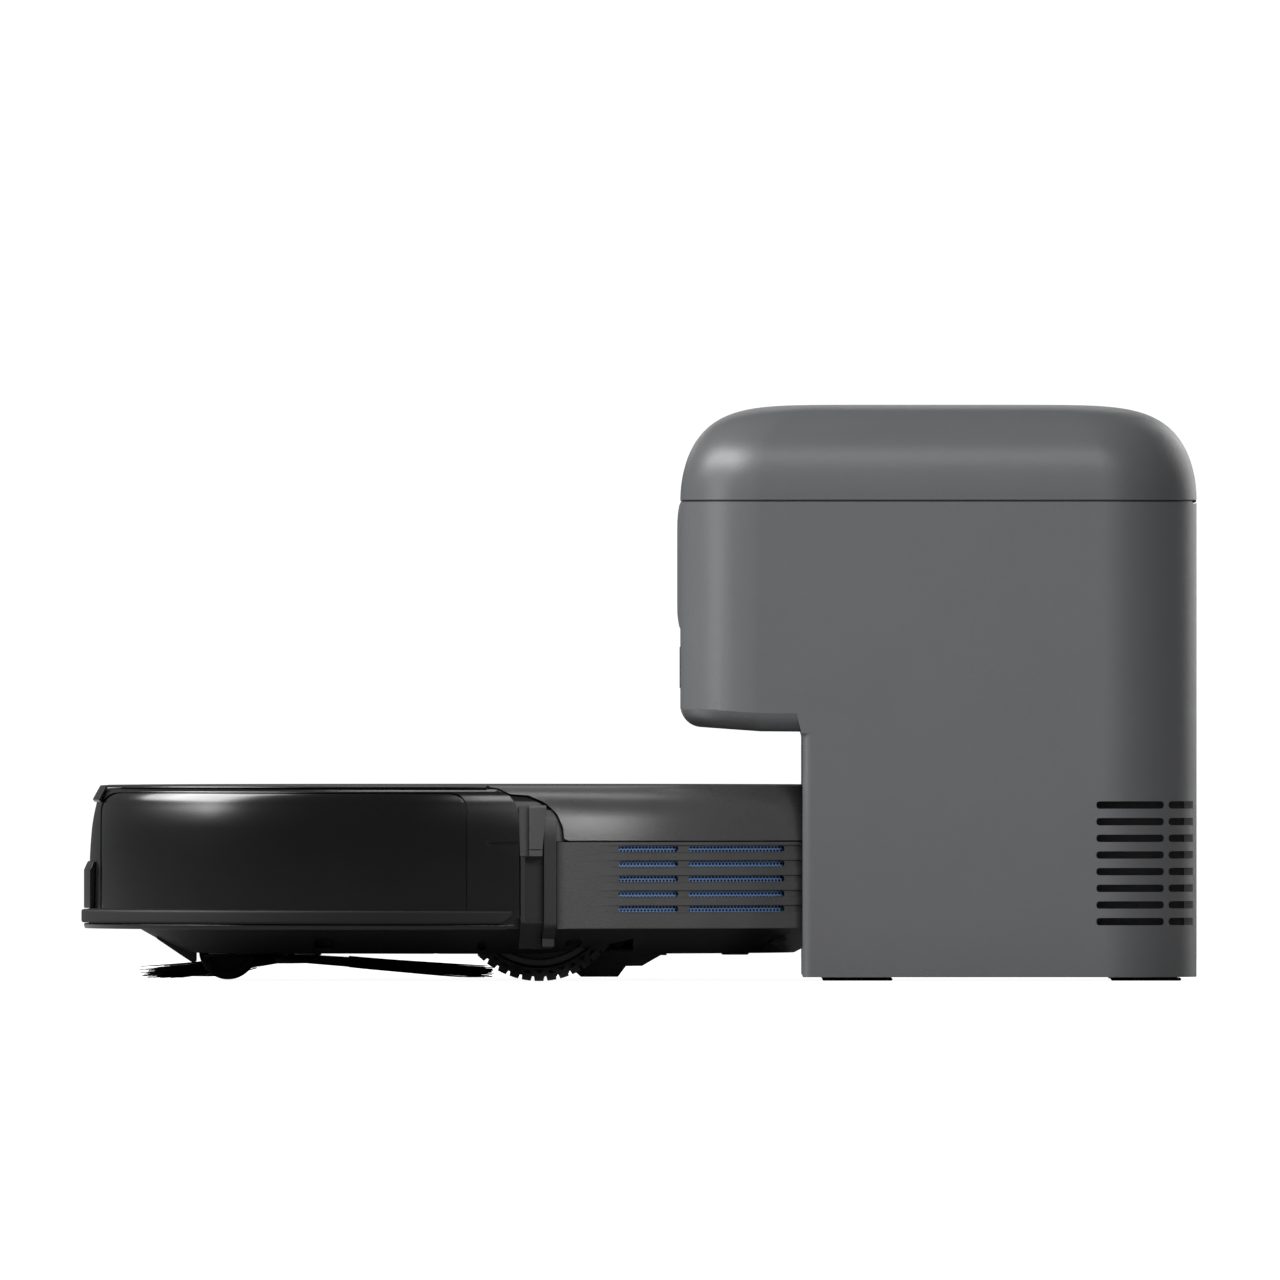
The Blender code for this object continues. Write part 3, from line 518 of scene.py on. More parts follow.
def bumper():
    """The bumper with its windows and rubber strip, and the visor above its front window."""
    outer = [(156.6, 79.1, 0.2), (158.9, 79.05, 1.0), (160.1, 78.0, 0.8)]
    face = flowing(WINDOW_FACE, 3)
    outer += [(r + 0.05, z, 0) for r, z in face]
    outer += [(165.35, 29.1, 0.15), (165.3, 23.3, 0.2), (167.5, 23.3, 0.5), (167.1, 21.2, 0.6)]
    inner = [(161.8, 21.2, 0.3), (162.0, 40.0, 0), (161.0, 62.0, 0), (159.2, 73.6, 1), (157.4, 77.6, 0.6),
             (156.6, 78.2, 0.1)]
    profile = fillet(outer + inner, 0.3, 3)
    shell = sector("bumper_skin", profile, (85.5, 274.5), BUMPER, 1.2)
    for name, side in SIDES:
        pane_profile = face + [(r - 1.4, z) for r, z in reversed(face)]
        degrees = (side * 88, side * 178)
        near, far = sorted((side * 10, side * 200))
        pane = sector(f"side_window_{name}_glass", pane_profile, degrees, WINDOW, 1.0)
        cut(pane, [prism("edge", window_outline(0), near, far, None, "Y")], "INTERSECT")
        soften(pane, 0.25, 2, 50)
        put(pane, "bumper", "smoked_window", f"side_window_{name}", curved=True)
        seat = [(r + 4, z) for r, z in WINDOW_FACE] + [(r - 1.55, z) for r, z in reversed(WINDOW_FACE)]
        seat = [(164.5, 80.0)] + seat + [(158.95, 80.0)]
        pocket = sector("pocket", seat, (side * 87.5, side * 178.5), None, 1.0)
        cut(pocket, [prism("edge", window_outline(0.5), near, far, None, "Y")], "INTERSECT")
        corner = [(-40, 84), (-62.5, 84), (-61.6, 79.5, 0), (-57.6, 78.9, 4), (-52.8, 76.4, 4),
                  (-49.9, 72.4, 5), (-48.6, 67.0, 6), (-48.6, 57.8), (-40, 57.8)]
        corner = fillet(corner, 0.2, 6)
        notch = [(-40, 57.9), (-62.0, 57.2, 0), (-49.0, 51.0, 1.5), (-43.6, 50.0), (-43.0, 30), (-40, 30)]
        notch = fillet(notch, 0.3, 3)
        low = [(-44, 26), (-50.6, 26, 1.0), (-51.0, 23.2, 0.6), (-56.2, 20.6, 1.0), (-56.2, 18), (-44, 18)]
        low = fillet(low, 0.3, 4)
        ends = [prism("corner", corner, near, far, None, "Y"), prism("low", low, near, far, None, "Y")]
        gap = sector("gap", rect(162.8, 30, 172, 58.5), (side * 80, side * 92), None, 1.0)
        ends.append(cut(prism("notch", notch, near, far, None, "Y"), [gap], "INTERSECT"))
        near, far = sorted((side * 150.0, side * 161.1))
        ends.append(box("stop_way", (-54.6, near, 50.9), (-44, far, 73.4)))
        cut(shell, [pocket] + ends)
    soften(shell, 0.3, 2, 50)
    put(shell, "bumper", "bumper_black", "bumper_shell", curved=True)
    strip = fillet([(168.45, 29.1, 1.0), (168.45, 23.6, 1.0), (165.6, 23.6, 0.2), (165.6, 29.1, 0.2)], 1.0, 4)
    strip = sector("rubber_strip_skin", strip, (86.4, 273.6), RUBBER, 1.2)
    end = fillet([(-40, 32), (-51.6, 32), (-51.9, 27.0, 3), (-57.5, 23.3, 2), (-60, 20), (-40, 20)], 0, 8)
    cut(strip, [prism("end", end, low_y, low_y + 60, None, "Y") for low_y in (-170, 110)])
    soften(strip, 0.6, 3, 60)
    put(strip, "bumper", "rubber_black", "rubber_strip")
    nub = fillet([(165.25, 50.2, 0.6), (167.4, 45.3, 1.2), (167.4, 29.5, 0.5), (165.6, 29.5, 0.2)], 0.5, 6)
    nub = sector("front_sensor_window_glass", nub, (169.5, 190.5), WINDOW, 0.75)
    soften(nub, 0.7, 3, 50)
    put(nub, "bumper", "smoked_window", "front_sensor_window")
    visor = [(159.7, 80.4, 0.3), (160.7, 80.1, 0.4), (163.8, 74.4, 0.6), (162.7, 73.1, 0.3),
             (161.9, 76.2, 0.3), (160.6, 79.3, 0.2), (159.7, 79.5, 0.1)]
    visor = fillet(visor, 0.3, 3)
    visor = soften(sector("front_visor_skin", visor, (169.5, 190.5), WINDOW, 0.75), 0.5, 3, 50)
    put(visor, "robot_body", "smoked_window", "front_visor")


def top():
    """The front rim, the rear shell, and the top plate with its two buttons."""
    rim = [(147.05, 80.45, 0.3), (157.4, 80.45, 0.3), (158.9, 80.15, 0.5), (159.3, 79.6, 0.3),
           (159.0, 79.35, 0.15), (151.8, 79.35, 0.2), (151.4, 77.3, 0.2), (147.05, 77.2, 0.2)]
    rim = sector("front_top_rim_skin", fillet(rim, 0.3, 3), (90.2, 269.8), BUMPER)
    put(soften(rim, 0.3), "robot_body", "bumper_black", "front_top_rim")
    outer = flowing([(147.05, 80.5), (151.0, 80.2), (154.2, 79.1), (157.2, 77.3), (160.0, 74.6),
                     (162.0, 71.6), (163.4, 68.1), (164.35, 64.3), (165.0, 61.0), (165.5, 58.0)], 4)
    inner = [(165.2, 57.7), (164.0, 57.7), (163.2, 64.4), (162.4, 67.8), (161.1, 71.0), (159.2, 73.9),
             (156.6, 76.5), (153.7, 78.2), (150.8, 79.2), (147.05, 79.4)]
    shell = sector("rear_top_shell_skin", outer + inner, (-89.8, 89.8), SHELL, 1.2)
    for _, side in SIDES:
        near, far = sorted((side * 100, side * 200))
        edge = [(-66, 40), (-28.2, 40), (-28.2, 57.9, 0.4), (-30.4, 58.6, 2), (-30.9, 63.5, 6),
                (-33.2, 69.0, 8), (-38.3, 73.6, 8), (-45.0, 76.5, 6), (-52.4, 77.0, 1.2), (-57.4, 79.4, 4),
                (-61.2, 80.0, 1), (-66.0, 80.0)]
        cut(shell, [prism("front_edge", fillet(edge, 0.5, 8), near, far, None, "Y")])
    put(soften(shell, 0.3), "robot_body", "shell_grey", "rear_top_shell", curved=True)
    disc = [(0, 80.55), (139.6, 80.55), (139.9, 80.1), (140.9, 80.1), (141.2, 80.55), (146.3, 80.55),
            (146.6, 80.3), (146.7, 78.1), (0, 78.1)]
    plate = turned("top_plate_skin", disc, BUMPER, (ROBOT_X, 0, 0), 192)
    for name, x, radius in (("start_button", -96.0, 11.0), ("home_button", -66.0, 7.0)):
        cap = [(0, 79.9), (radius * 0.55, 80.0), (radius * 0.82, 80.3), (radius - 0.5, 80.55),
               (radius - 0.1, 80.3), (radius, 79.8), (radius, 77.4), (radius + 2, 77.4), (radius + 2, 75.6),
               (0, 75.6)]
        put(turned(f"{name}_cap", cap, SHELL, (x, 0, 0), 64), name, "shell_grey", name)
        hole = [(0, 90), (radius + 0.35, 90), (radius + 0.35, 70), (0, 70)]
        hole = turned("hole", hole, None, (x, 0, 0), 64)
        ring = [(radius + 1.4, 79.95), (radius + 1.4, 82), (radius + 2.2, 82), (radius + 2.2, 79.95)]
        cut(plate, [hole, turned("ring", ring, None, (x, 0, 0), 64)])
    put(soften(plate, 0.18), "robot_body", "bumper_black", "top_plate")


def groove(side, height):
    """The shallow hollow that a row of vents lies in. It fades out towards the robot's front."""
    rings = []
    for step in range(40):
        degrees = side * (35.5 + 40.5 * step / 39)
        bed = BODY_R - (0.75 * min((76.0 - abs(degrees)) / 7, 1) ** 1.5 - 0.05)
        section = [(bed, height - 1.3), (167, height - 3.6), (167, height + 2.2), (bed, height + 1.3)]
        rings.append(around(section, degrees))
    return stacked("groove", rings, None)


def sides():
    """The rear side panels, the mesh behind their vents, and the pillars in front of them."""
    wall = [(BODY_R, 57.3, 0.5), (BODY_R, 21.6, 0.6), (156.2, 21.6, 0.3), (156.2, 23.8, 0.2),
            (162.5, 23.8, 0.2), (162.5, 57.3, 0.3)]
    rolled = [(0.0, 0.0), (0.33, 0.04), (0.55, 0.14), (0.72, 0.32), (0.85, 0.55), (0.94, 0.78), (1.0, 1.0)]
    vents = [(-8.0, 16.5), (20.8, 60.2)]
    top_row, pitch, half = 54.5, 6.18, 1.22
    for name, side in SIDES:
        places = [(side * (34.2 + 44.2 * step / 44), 0.0) for step in range(44)]
        places += [(side * (78.4 + 1.62 * along), 1.7 * back) for along, back in rolled]
        rings = []
        for degrees, back in places:
            section = [(min(r, (BODY_R if r > 162.5 else BODY_R - 0.3) - back), z)
                       for r, z in fillet(wall, 0.4, 3)]
            rings.append(around(section, degrees))
        panel = stacked(f"side_panel_{name}_skin", rings, PANEL)
        near, far = sorted((side * 90, side * 170))
        cutters = []
        for row in range(5):
            height = top_row - pitch * row
            for front, rear in vents:
                slot = rect(front, height - half, rear, height + half)
                cutters.append(prism("slot", fillet(slot, 1.2, 5), near, far, None, "Y"))
            cutters.append(groove(side, height))
        cut(panel, cutters)
        put(soften(panel, 0.2, 2, 40), "robot_body", "panel_grey", f"side_panel_{name}")
        screen = sector(f"vent_mesh_{name}_sheet", [(162.3, 57), (162.3, 26), (161.9, 26), (161.9, 57)],
                        (side * 39, side * 72.5), MESH, 1.0)
        put(screen, "robot_body", "mesh_blue", f"vent_mesh_{name}")
        pillar(name, side)


def pillar(name, side):
    """The dark upright between bumper and side panel, its shoulder and filler below the shell's edge, and the
    block that the bumper's end slides over, stepped back by the bumper's travel."""
    face = [(159.0, 71.0, 0.8), (160.6, 62.0, 0), (161.2, 50.0, 0), (161.2, 24.0, 2), (151.5, 13.4, 1.0),
            (149.6, 13.4, 0.5), (149.6, 21.3, 0.3), (156.2, 21.3, 0.3), (156.2, 71.0, 0.5)]
    post = sector(f"side_pillar_{name}_skin", fillet(face, 0.5, 4), (side * 80.0, side * 85.2), CHASSIS, 0.4)
    trim = [(163.3, 58.0, 2), (163.0, 63.0, 3), (162.1, 67.6, 3), (160.7, 70.9, 1), (158.0, 70.9, 0.3),
            (158.0, 14.2, 0.3), (154.5, 14.2, 1), (163.3, 22.6, 3)]
    trim = sector(f"pillar_trim_{name}", fillet(trim, 0.5, 4), (side * 80.03, side * 81.9), CHASSIS, 0.4)
    put(soften(trim, 0.22), "robot_body", "chassis_black")
    back = [(158.0, 57.6), (163.0, 57.6), (162.3, 64.4), (161.5, 67.8), (160.4, 70.6), (158.0, 70.6)]
    back = sector(f"pillar_filler_{name}", back, (side * 77.8, side * 80.3), CHASSIS, 0.5)
    put(back, "robot_body", "chassis_black")
    recess = [(-46.4, 51.0, 0.3), (-38.4, 52.4, 1), (-36.3, 50.0, 2), (-35.6, 43.0, 3), (-33.9, 33.0, 3),
              (-33.0, 26.4, 1), (-36.0, 24.6, 1), (-46.4, 24.6, 0.3)]
    near, far = sorted((side * 158.0, side * 170))
    recess = prism("recess", fillet(recess, 0.3, 5), near, far, None, "Y")
    ring = sector("ring", rect(158.2, 20, 165, 60), (side * 76, side * 88), None, 0.5)
    cut(post, [cut(recess, [ring], "INTERSECT")])
    put(soften(post, 0.22), "robot_body", "chassis_black", f"side_pillar_{name}")
    bend = [(150.0, 78.9, 0.3), (153.6, 77.8, 2), (156.2, 76.2, 2), (158.3, 74.0, 2), (159.2, 71.0, 2),
            (159.8, 68.0, 0.3), (157.0, 68.0, 0.3), (155.0, 72.4, 2), (150.0, 76.3, 0.3)]
    bend = sector(f"pillar_shoulder_{name}", fillet(bend, 0.3, 4), (side * 78.0, side * 89.9), CHASSIS, 0.8)
    put(soften(bend, 0.2), "robot_body", "chassis_black")
    rings = []
    for reach, drop in ((158.4, 0.0), (162.0, 0.0), (162.7, 0.3), (163.1, 0.8), (163.2, 1.2)):
        outline = [(-49.0, 72.2 - drop, 0.4), (-37.6, 72.4 - drop, 0.5), (-39.2, 54.6, 0),
                   (-39.3, 51.5, 0.4), (-48.5, 51.5, 0.4)]
        rings.append([(x, side * reach, z) for x, z in fillet(outline, 0.4, 4)])
    block = stacked(f"bumper_stop_{name}", rings, PANEL, 30)
    near, far = sorted((side * 162.5, side * 166))
    ledge = prism("ledge", rect(-50, 53.9, -36, 54.35), near, far, None, "Y")
    near, far = sorted((side * 160.9, side * 170))
    travel = prism("travel", rect(-52, 50, -44.7, 74), near, far, None, "Y")
    cut(block, [ledge, travel])
    put(soften(block, 0.25, 2), "robot_body", "panel_grey")


def dust_bin():
    wall = [(BODY_R, 57.2, 0.8), (BODY_R, 21.6, 0.6), (156.2, 21.6, 0.3), (156.2, 24.6, 0.2),
            (162.4, 24.6, 0.2), (162.4, 57.2, 0.3)]
    skin = sector("dust_bin_skin", fillet(wall, 0.4, 3), (-33.9, 33.9), PANEL, 1.0)

    def opening(name, half, low, high, corner, steps, front, rear):
        outline = fillet(rect(-half, low, half, high), corner, steps)
        return stacked(name, [[(x, y, z) for y, z in outline] for x in (front, rear)], None)

    hole = opening("port", 22, 32.0, 50.0, 2.0, 4, 90, 112)
    outer = opening("rim", 26, 28.6, 53.4, 3.0, 4, 100.9, 112)
    cut(outer, [opening("kept", 25.2, 29.4, 52.6, 2.6, 4, 95, 115)])
    cut(skin, [hole, outer, opening("latch", 12, 55.0, 60.0, 1.0, 3, 101.6, 112)])
    soften(skin, 0.3)
    arc_out = arc((ROBOT_X, 0), 162.6, -29.3, 29.3, 24)
    tray = prism("dust_bin_tray", [(22.0, -79.8)] + arc_out + [(22.0, 79.8)], 24.4, 57.0, INNER)
    arc_in = arc((ROBOT_X, 0), 160.4, -28.9, 28.9, 24)
    inside = prism("inside", [(24.0, -77.8)] + arc_in + [(24.0, 77.8)], 26.4, 70)
    cut(tray, [inside, box("mouth", (88, -25, 28.6), (112, 25, 54.6))])
    soften(tray, 0.5)
    put(skin, "robot_body", "panel_grey", "dust_bin")
    put(tray, "robot_body", "inner_plastic")


def chassis():
    under = [(124.6, 13.3, 2), (134.5, 18.5, 2), (144.4, 24.0, 1), (153.3, 24.0, 0.3), (153.3, 64.0, 0.3),
             (155.8, 64.0, 0.3), (155.8, 21.6, 0.2), (145.2, 21.5, 0.8), (136.0, 16.3, 3), (125.5, 10.8, 6)]
    centre = (ROBOT_X, 0, 0)
    tub = turned("chassis_skin", [(0, 13.3)] + fillet(under, 0.4, 4) + [(0, 10.8)], CHASSIS, centre, 240)
    shallow = [(124.7, 12.3), (135.2, 17.8), (144.4, 23.0), (175, 23.0), (175, 5), (124.7, 5)]
    cutters = [
        box("bay", (-33, -79, 5), (15, 79, 30)),
        turned("caster_way", [(0, 20), (19.3, 20), (19.3, 5), (0, 5)], None, (CASTER_X, 0, 0), 64),
        turned("shaft_way", [(0, 40), (4, 40), (4, 5), (0, 5)], None, (*BRUSH_AT, 0), 32),
        sector("bin_way", rect(150, 24.15, 160, 70), (-36.4, 36.4), None, 1.0),
    ]
    for _, side in SIDES:
        near, far = sorted((side * 82.0, side * 124.6))
        cutters.append(box("well", (-84, near, 5), (-2, far, 30)))
        for x, long, z in ((-129, 4.4, 15.4), (-64, 2.0, 14.6), (-26.4, 3.6, 15.0), (57.4, 4.0, 16.2)):
            pit = fillet(rect(x - long, z - 1.9, x + long, z + 1.9), 1.8, 5)
            near, far = sorted((side * 60.0, side * 170))
            cutters.append(cut(prism("pit", pit, near, far, None, "Y"),
                               [turned("pit_depth", shallow, None, centre, 240)], "INTERSECT"))
    for x, y in ((-150, -60), (-150, 45), (-60, -60), (-60, 60), (40, -96), (40, 96), (78, -48), (78, 48)):
        cutters.append(turned("screw_well", [(0, 12.2), (3.6, 12.2), (3.6, 9), (0, 9)], None, (x, y, 0), 24))
    cut(tub, cutters)
    nose = [(-199.5, 17.4, 1), (-184.5, 7.3, 1.5), (-182.6, 7.3, 0.6), (-182.6, 12.6), (-197.0, 19.0)]
    cut(tub, [prism("nose", fillet(nose, 0.5, 4), -24, 24, None, "Y")], "UNION")
    put(soften(tub, 0.35, 2, 45), "robot_body", "chassis_black", "chassis_pan")
    lens = [(0, 10.5), (5.0, 10.5), (5.6, 10.7), (5.6, 12.8), (0, 12.8)]
    for number, (x, y) in enumerate(((-172, 31), (-172, -31), (-136, -88), (40, 57), (40, -57))):
        sensor = turned(f"cliff_sensor_{number + 1}", lens, WINDOW, (x, y, 0), 32)
        put(sensor, "robot_body", "smoked_window")


# ---- robot running gear
def drive_wheel(name, side):
    """The lugged tyre with a row of triangular pockets in each face, and the spoked rim inside it."""
    x, z = -40.7, 35.5
    lugs = 42
    low, high = sorted((side * 102.0, side * 122.0))

    def point(turn, radius):
        angle = math.radians(-90 + 360 * turn / lugs)
        return x + radius * math.cos(angle), z + radius * math.sin(angle)

    outline = []
    for lug in range(lugs):
        for share, radius in ((-0.34, 35.5), (0.0, 35.5), (0.34, 35.5), (0.42, 33.7), (0.58, 33.7)):
            outline.append(point(lug + share, radius))
    tyre = prism(f"tyre_{name}_tread", outline, low, high, TYRE, "Y")
    bore = turned("bore", [(0, 30), (30.1, 30), (30.1, -5), (0, -5)], None, (x, side * 100, z), 96, side)
    cutters = [bore]
    for lug in range(lugs):
        base, tip = 30.9 + 1.7 * (lug % 2), 32.6 - 1.7 * (lug % 2)
        corners = [point(lug + share, radius) for share, radius in ((-0.36, base), (0.36, base), (0.0, tip))]
        near, far = sorted((side * 119.6, side * 130))
        cutters.append(prism("pocket", corners, near, far, None, "Y"))
    cut(tyre, cutters)
    put(soften(tyre, 0.22, 2, 50), f"drive_wheel_{name}", "wheel_tyre", f"tyre_{name}")
    profile = [(0, 27), (8.2, 27), (9, 26.2), (9.2, 25.2), (12, 24.6), (24.5, 24.6), (26.5, 25.6),
               (26.7, 28.6), (27.2, 29), (28.9, 29), (29.4, 28.5), (29.4, 13), (8, 13), (8, 11.5), (4, 11.5),
               (4, 0), (0, 0)]
    rim = turned(f"wheel_rim_{name}_hub", profile, INNER, (x, side * 91.0, z), 96, side)
    holes = []
    for spoke in range(6):
        angle = math.radians(60 * spoke + 30)
        centre = (x + 18.3 * math.cos(angle), side * 91.0, z + 18.3 * math.sin(angle))
        holes.append(turned("pit", [(0, 40), (4.6, 40), (4.6, 21.5), (0, 21.5)], None, centre, 24, side))
    cut(rim, holes)
    put(soften(rim, 0.25), f"drive_wheel_{name}", "inner_plastic", f"wheel_rim_{name}")


def caster():
    x, z = -169.5, 12.0
    fork = [(0, 31.1), (3.8, 31.1), (4.1, 30.8), (4.1, 28.0), (18.3, 28.0), (18.6, 27.7), (18.6, 10.3),
            (17.6, 9.3), (0, 9.3)]
    fork = turned("caster_fork_skin", fork, CHASSIS, (CASTER_X, 0, 0), 72)
    way = box("way", (x - 13.5, -7.8, 0), (x + 13.5, 7.8, 25.5))
    bore = turned("bore", [(0, 13), (2.1, 13), (2.1, -13), (0, -13)], None, (x, 0, z), 32, 1)
    cut(fork, [way, bore])
    put(soften(fork, 0.35), "caster_swivel", "chassis_black", "caster_fork")
    wheel = [(0, 12.6), (1.8, 12.6), (1.8, 6.6), (6.6, 6.6), (7.6, 6.9), (8.2, 6.3), (8.7, 6.9), (10.6, 7.2),
             (11.4, 6.9), (12.0, 5.8), (12.0, 0.9), (11.8, 0.6), (11.8, -0.6), (12.0, -0.9), (12.0, -5.8),
             (11.4, -6.9), (10.6, -7.2), (8.7, -6.9), (8.2, -6.3), (7.6, -6.9), (6.6, -6.6), (1.8, -6.6),
             (1.8, -12.6), (0, -12.6)]
    put(turned("caster_wheel_tread", wheel, TYRE, (x, 0, z), 96, 1), "caster_roller", "rubber_black",
        "caster_wheel")


def strands(name, lines, radius, material, sides=4, taper=0.55):
    """Many thin tapered strands, each a tube along its own points in millimetres."""
    bm = bmesh.new()
    for points in lines:
        rings = []
        for i, point in enumerate(points):
            ahead = Vector(points[min(i + 1, len(points) - 1)]) - Vector(points[max(i - 1, 0)])
            across = ahead.cross(Vector((0, 0, 1)))
            if across.length < 1e-6:
                across = ahead.cross(Vector((0, 1, 0)))
            across.normalize()
            up = across.cross(ahead).normalized()
            size = radius * (1 - (1 - taper) * i / (len(points) - 1))
            ring = []
            for k in range(sides):
                angle = math.tau * k / sides
                offset = across * math.cos(angle) + up * math.sin(angle)
                ring.append(bm.verts.new(Vector(point) + offset * size))
            rings.append(ring)
        for near, far in zip(rings, rings[1:]):
            bridge(bm, near, far)
        bm.faces.new(rings[0])
        bm.faces.new(rings[-1])
    return to_object(name, bm, material, 80)


def side_brush():
    x, y = BRUSH_AT
    draw = random.Random(7)
    hub = [(0, 24.6), (2.7, 24.6), (3, 24.3), (3, 10.2), (12.4, 10.2), (13, 9.6), (13, 7.8), (10.4, 6.1),
           (4.2, 6.0), (3.8, 7.0), (0, 7.0)]
    put(turned("side_brush_core", hub, ROOT, (x, y, 0), 64), "side_brush", "bristle_black", "side_brush_hub")
    for number, (longest, sweep) in enumerate(((88.0, 2.0), (77.0, 9.0), (86.0, -7.0))):
        turn = math.radians(-4 + 120 * number)
        outline = fillet([(7.0, 9.9, 0.5), (7.0, 6.3, 0.5), (29.5, 4.4, 1.4), (29.5, 8.6, 1.6)], 1.0, 4)
        rings = []
        for share, half in ((-1, 3.2), (-0.55, 4.3), (0, 4.7), (0.55, 4.3), (1, 3.2)):
            rings.append([(u, share * half * (1 - 0.25 * (u - 7) / 22), w) for u, w in outline])
        root = soften(stacked(f"brush_root_{number + 1}", rings, ROOT), 0.5)
        root.matrix_world = Matrix.Translation((x * MM, y * MM, 0)) @ Matrix.Rotation(turn, 4, "Z")
        put(root, "side_brush", "bristle_black")
        lines = []
        for _ in range(170):
            fan = draw.gauss(0, 1)
            lift = draw.gauss(0, 1)
            reach = longest + draw.uniform(-8.5, 0.0) - abs(fan) * 1.5
            bend = draw.uniform(-0.6, 0.6)
            points = []
            for step in range(9):
                share = step / 8
                along = 27.0 + (reach - 27.0) * share
                spread = fan * (1.0 + 3.0 * share**1.6) + bend * math.sin(share * math.pi) + sweep * share**2
                drop = 7.0 - 4.4 * share**0.9 + lift * (0.85 + 0.25 * share)
                points.append((along, spread, max(drop, 0.35 + 0.5 * abs(bend))))
            lines.append(points)
        tuft = strands(f"bristle_bundle_{number + 1}_strands", lines, 0.26, BRISTLE)
        tuft.matrix_world = Matrix.Translation((x * MM, y * MM, 0)) @ Matrix.Rotation(turn, 4, "Z")
        put(tuft, "side_brush", "bristle_black", f"bristle_bundle_{number + 1}")


def main_brush():
    """A rubber roller with six chevron fins and a row of bristles between them."""
    draw = random.Random(11)
    x, z, half = -15.0, 16.2, 72.0
    rows, fins = 48, 6
    rings = []
    for row in range(rows + 1):
        share = 2 * row / rows - 1
        ring = []
        for fin in range(fins):
            for lean, radius in ((-0.42, 8.4), (-0.08, 9.6), (-0.045, 12.8), (0.0, 13.0), (0.03, 12.8),
                                 (0.06, 9.6), (0.3, 8.4)):
                angle = math.radians(60 * (fin + lean) + 60 * abs(share))
                ring.append((x + radius * math.cos(angle), half * share, z + radius * math.sin(angle)))
        rings.append(ring)
    put(stacked("main_brush_fins", rings, ROOT, 50), "main_brush", "rubber_black", "main_brush_roller")
    lines = []
    for fin in range(fins):
        for tuft in range(44):
            share = -0.97 + 1.94 * tuft / 43
            for _ in range(6):
                angle = math.radians(60 * (fin + 0.5) + 60 * abs(share) + draw.uniform(-3, 3))
                y = half * share + draw.uniform(-0.9, 0.9)
                reach = 13.2 + draw.uniform(-0.8, 0.6)
                radii = (8.0, 10.5, reach)
                lines.append([(x + r * math.cos(angle), y, z + r * math.sin(angle)) for r in radii])
    put(strands("main_brush_bristles", lines, 0.16, BRISTLE), "main_brush", "bristle_black")


# ---- dock
def plan(inset=0.0, steps=18):
    """The dock's plan: a rounded rectangle with tighter corners at the front."""
    half, front, rear = 112.0 - inset, 17.5 + inset, 230.2 - inset
    near, far = 33.0 - inset, 39.0 - inset
    corners = ((rear - far, half - far, far), (front + near, half - near, near),
               (front + near, near - half, near), (rear - far, far - half, far))
    points = []
    for turn, (x, y, radius) in enumerate(corners):
        points += arc((x, y), radius, 90 * turn, 90 * (turn + 1), steps)
    return points


def overhang_cut():
    """What is taken away below the overhang, whose lower edges stay rounded all the way round."""
    radius = 8.8
    rings = []
    for step in range(11):
        angle = math.radians(-2 + 92 * step / 10)
        inset = radius * (1 - math.sin(angle)) if step < 10 else -0.5
        height = radius * (1 - math.cos(angle)) if step < 10 else radius
        rings.append([(x, y, 101.6 + height + 2.8 * min(max((65.5 - x) / 39.5, 0), 1))
                      for x, y in plan(inset)])
    rings.append([(x, y, 130.0) for x, y, _ in rings[-1]])
    kept = stacked("kept", rings, None)
    room = fillet([(0, -5), (67.7, -5), (67.7, 100.2, 2.4), (64.5, 113, 0), (0, 113, 0)], 0, 5)
    return cut(prism("under", room, -130, 130, None, "Y"), [kept])


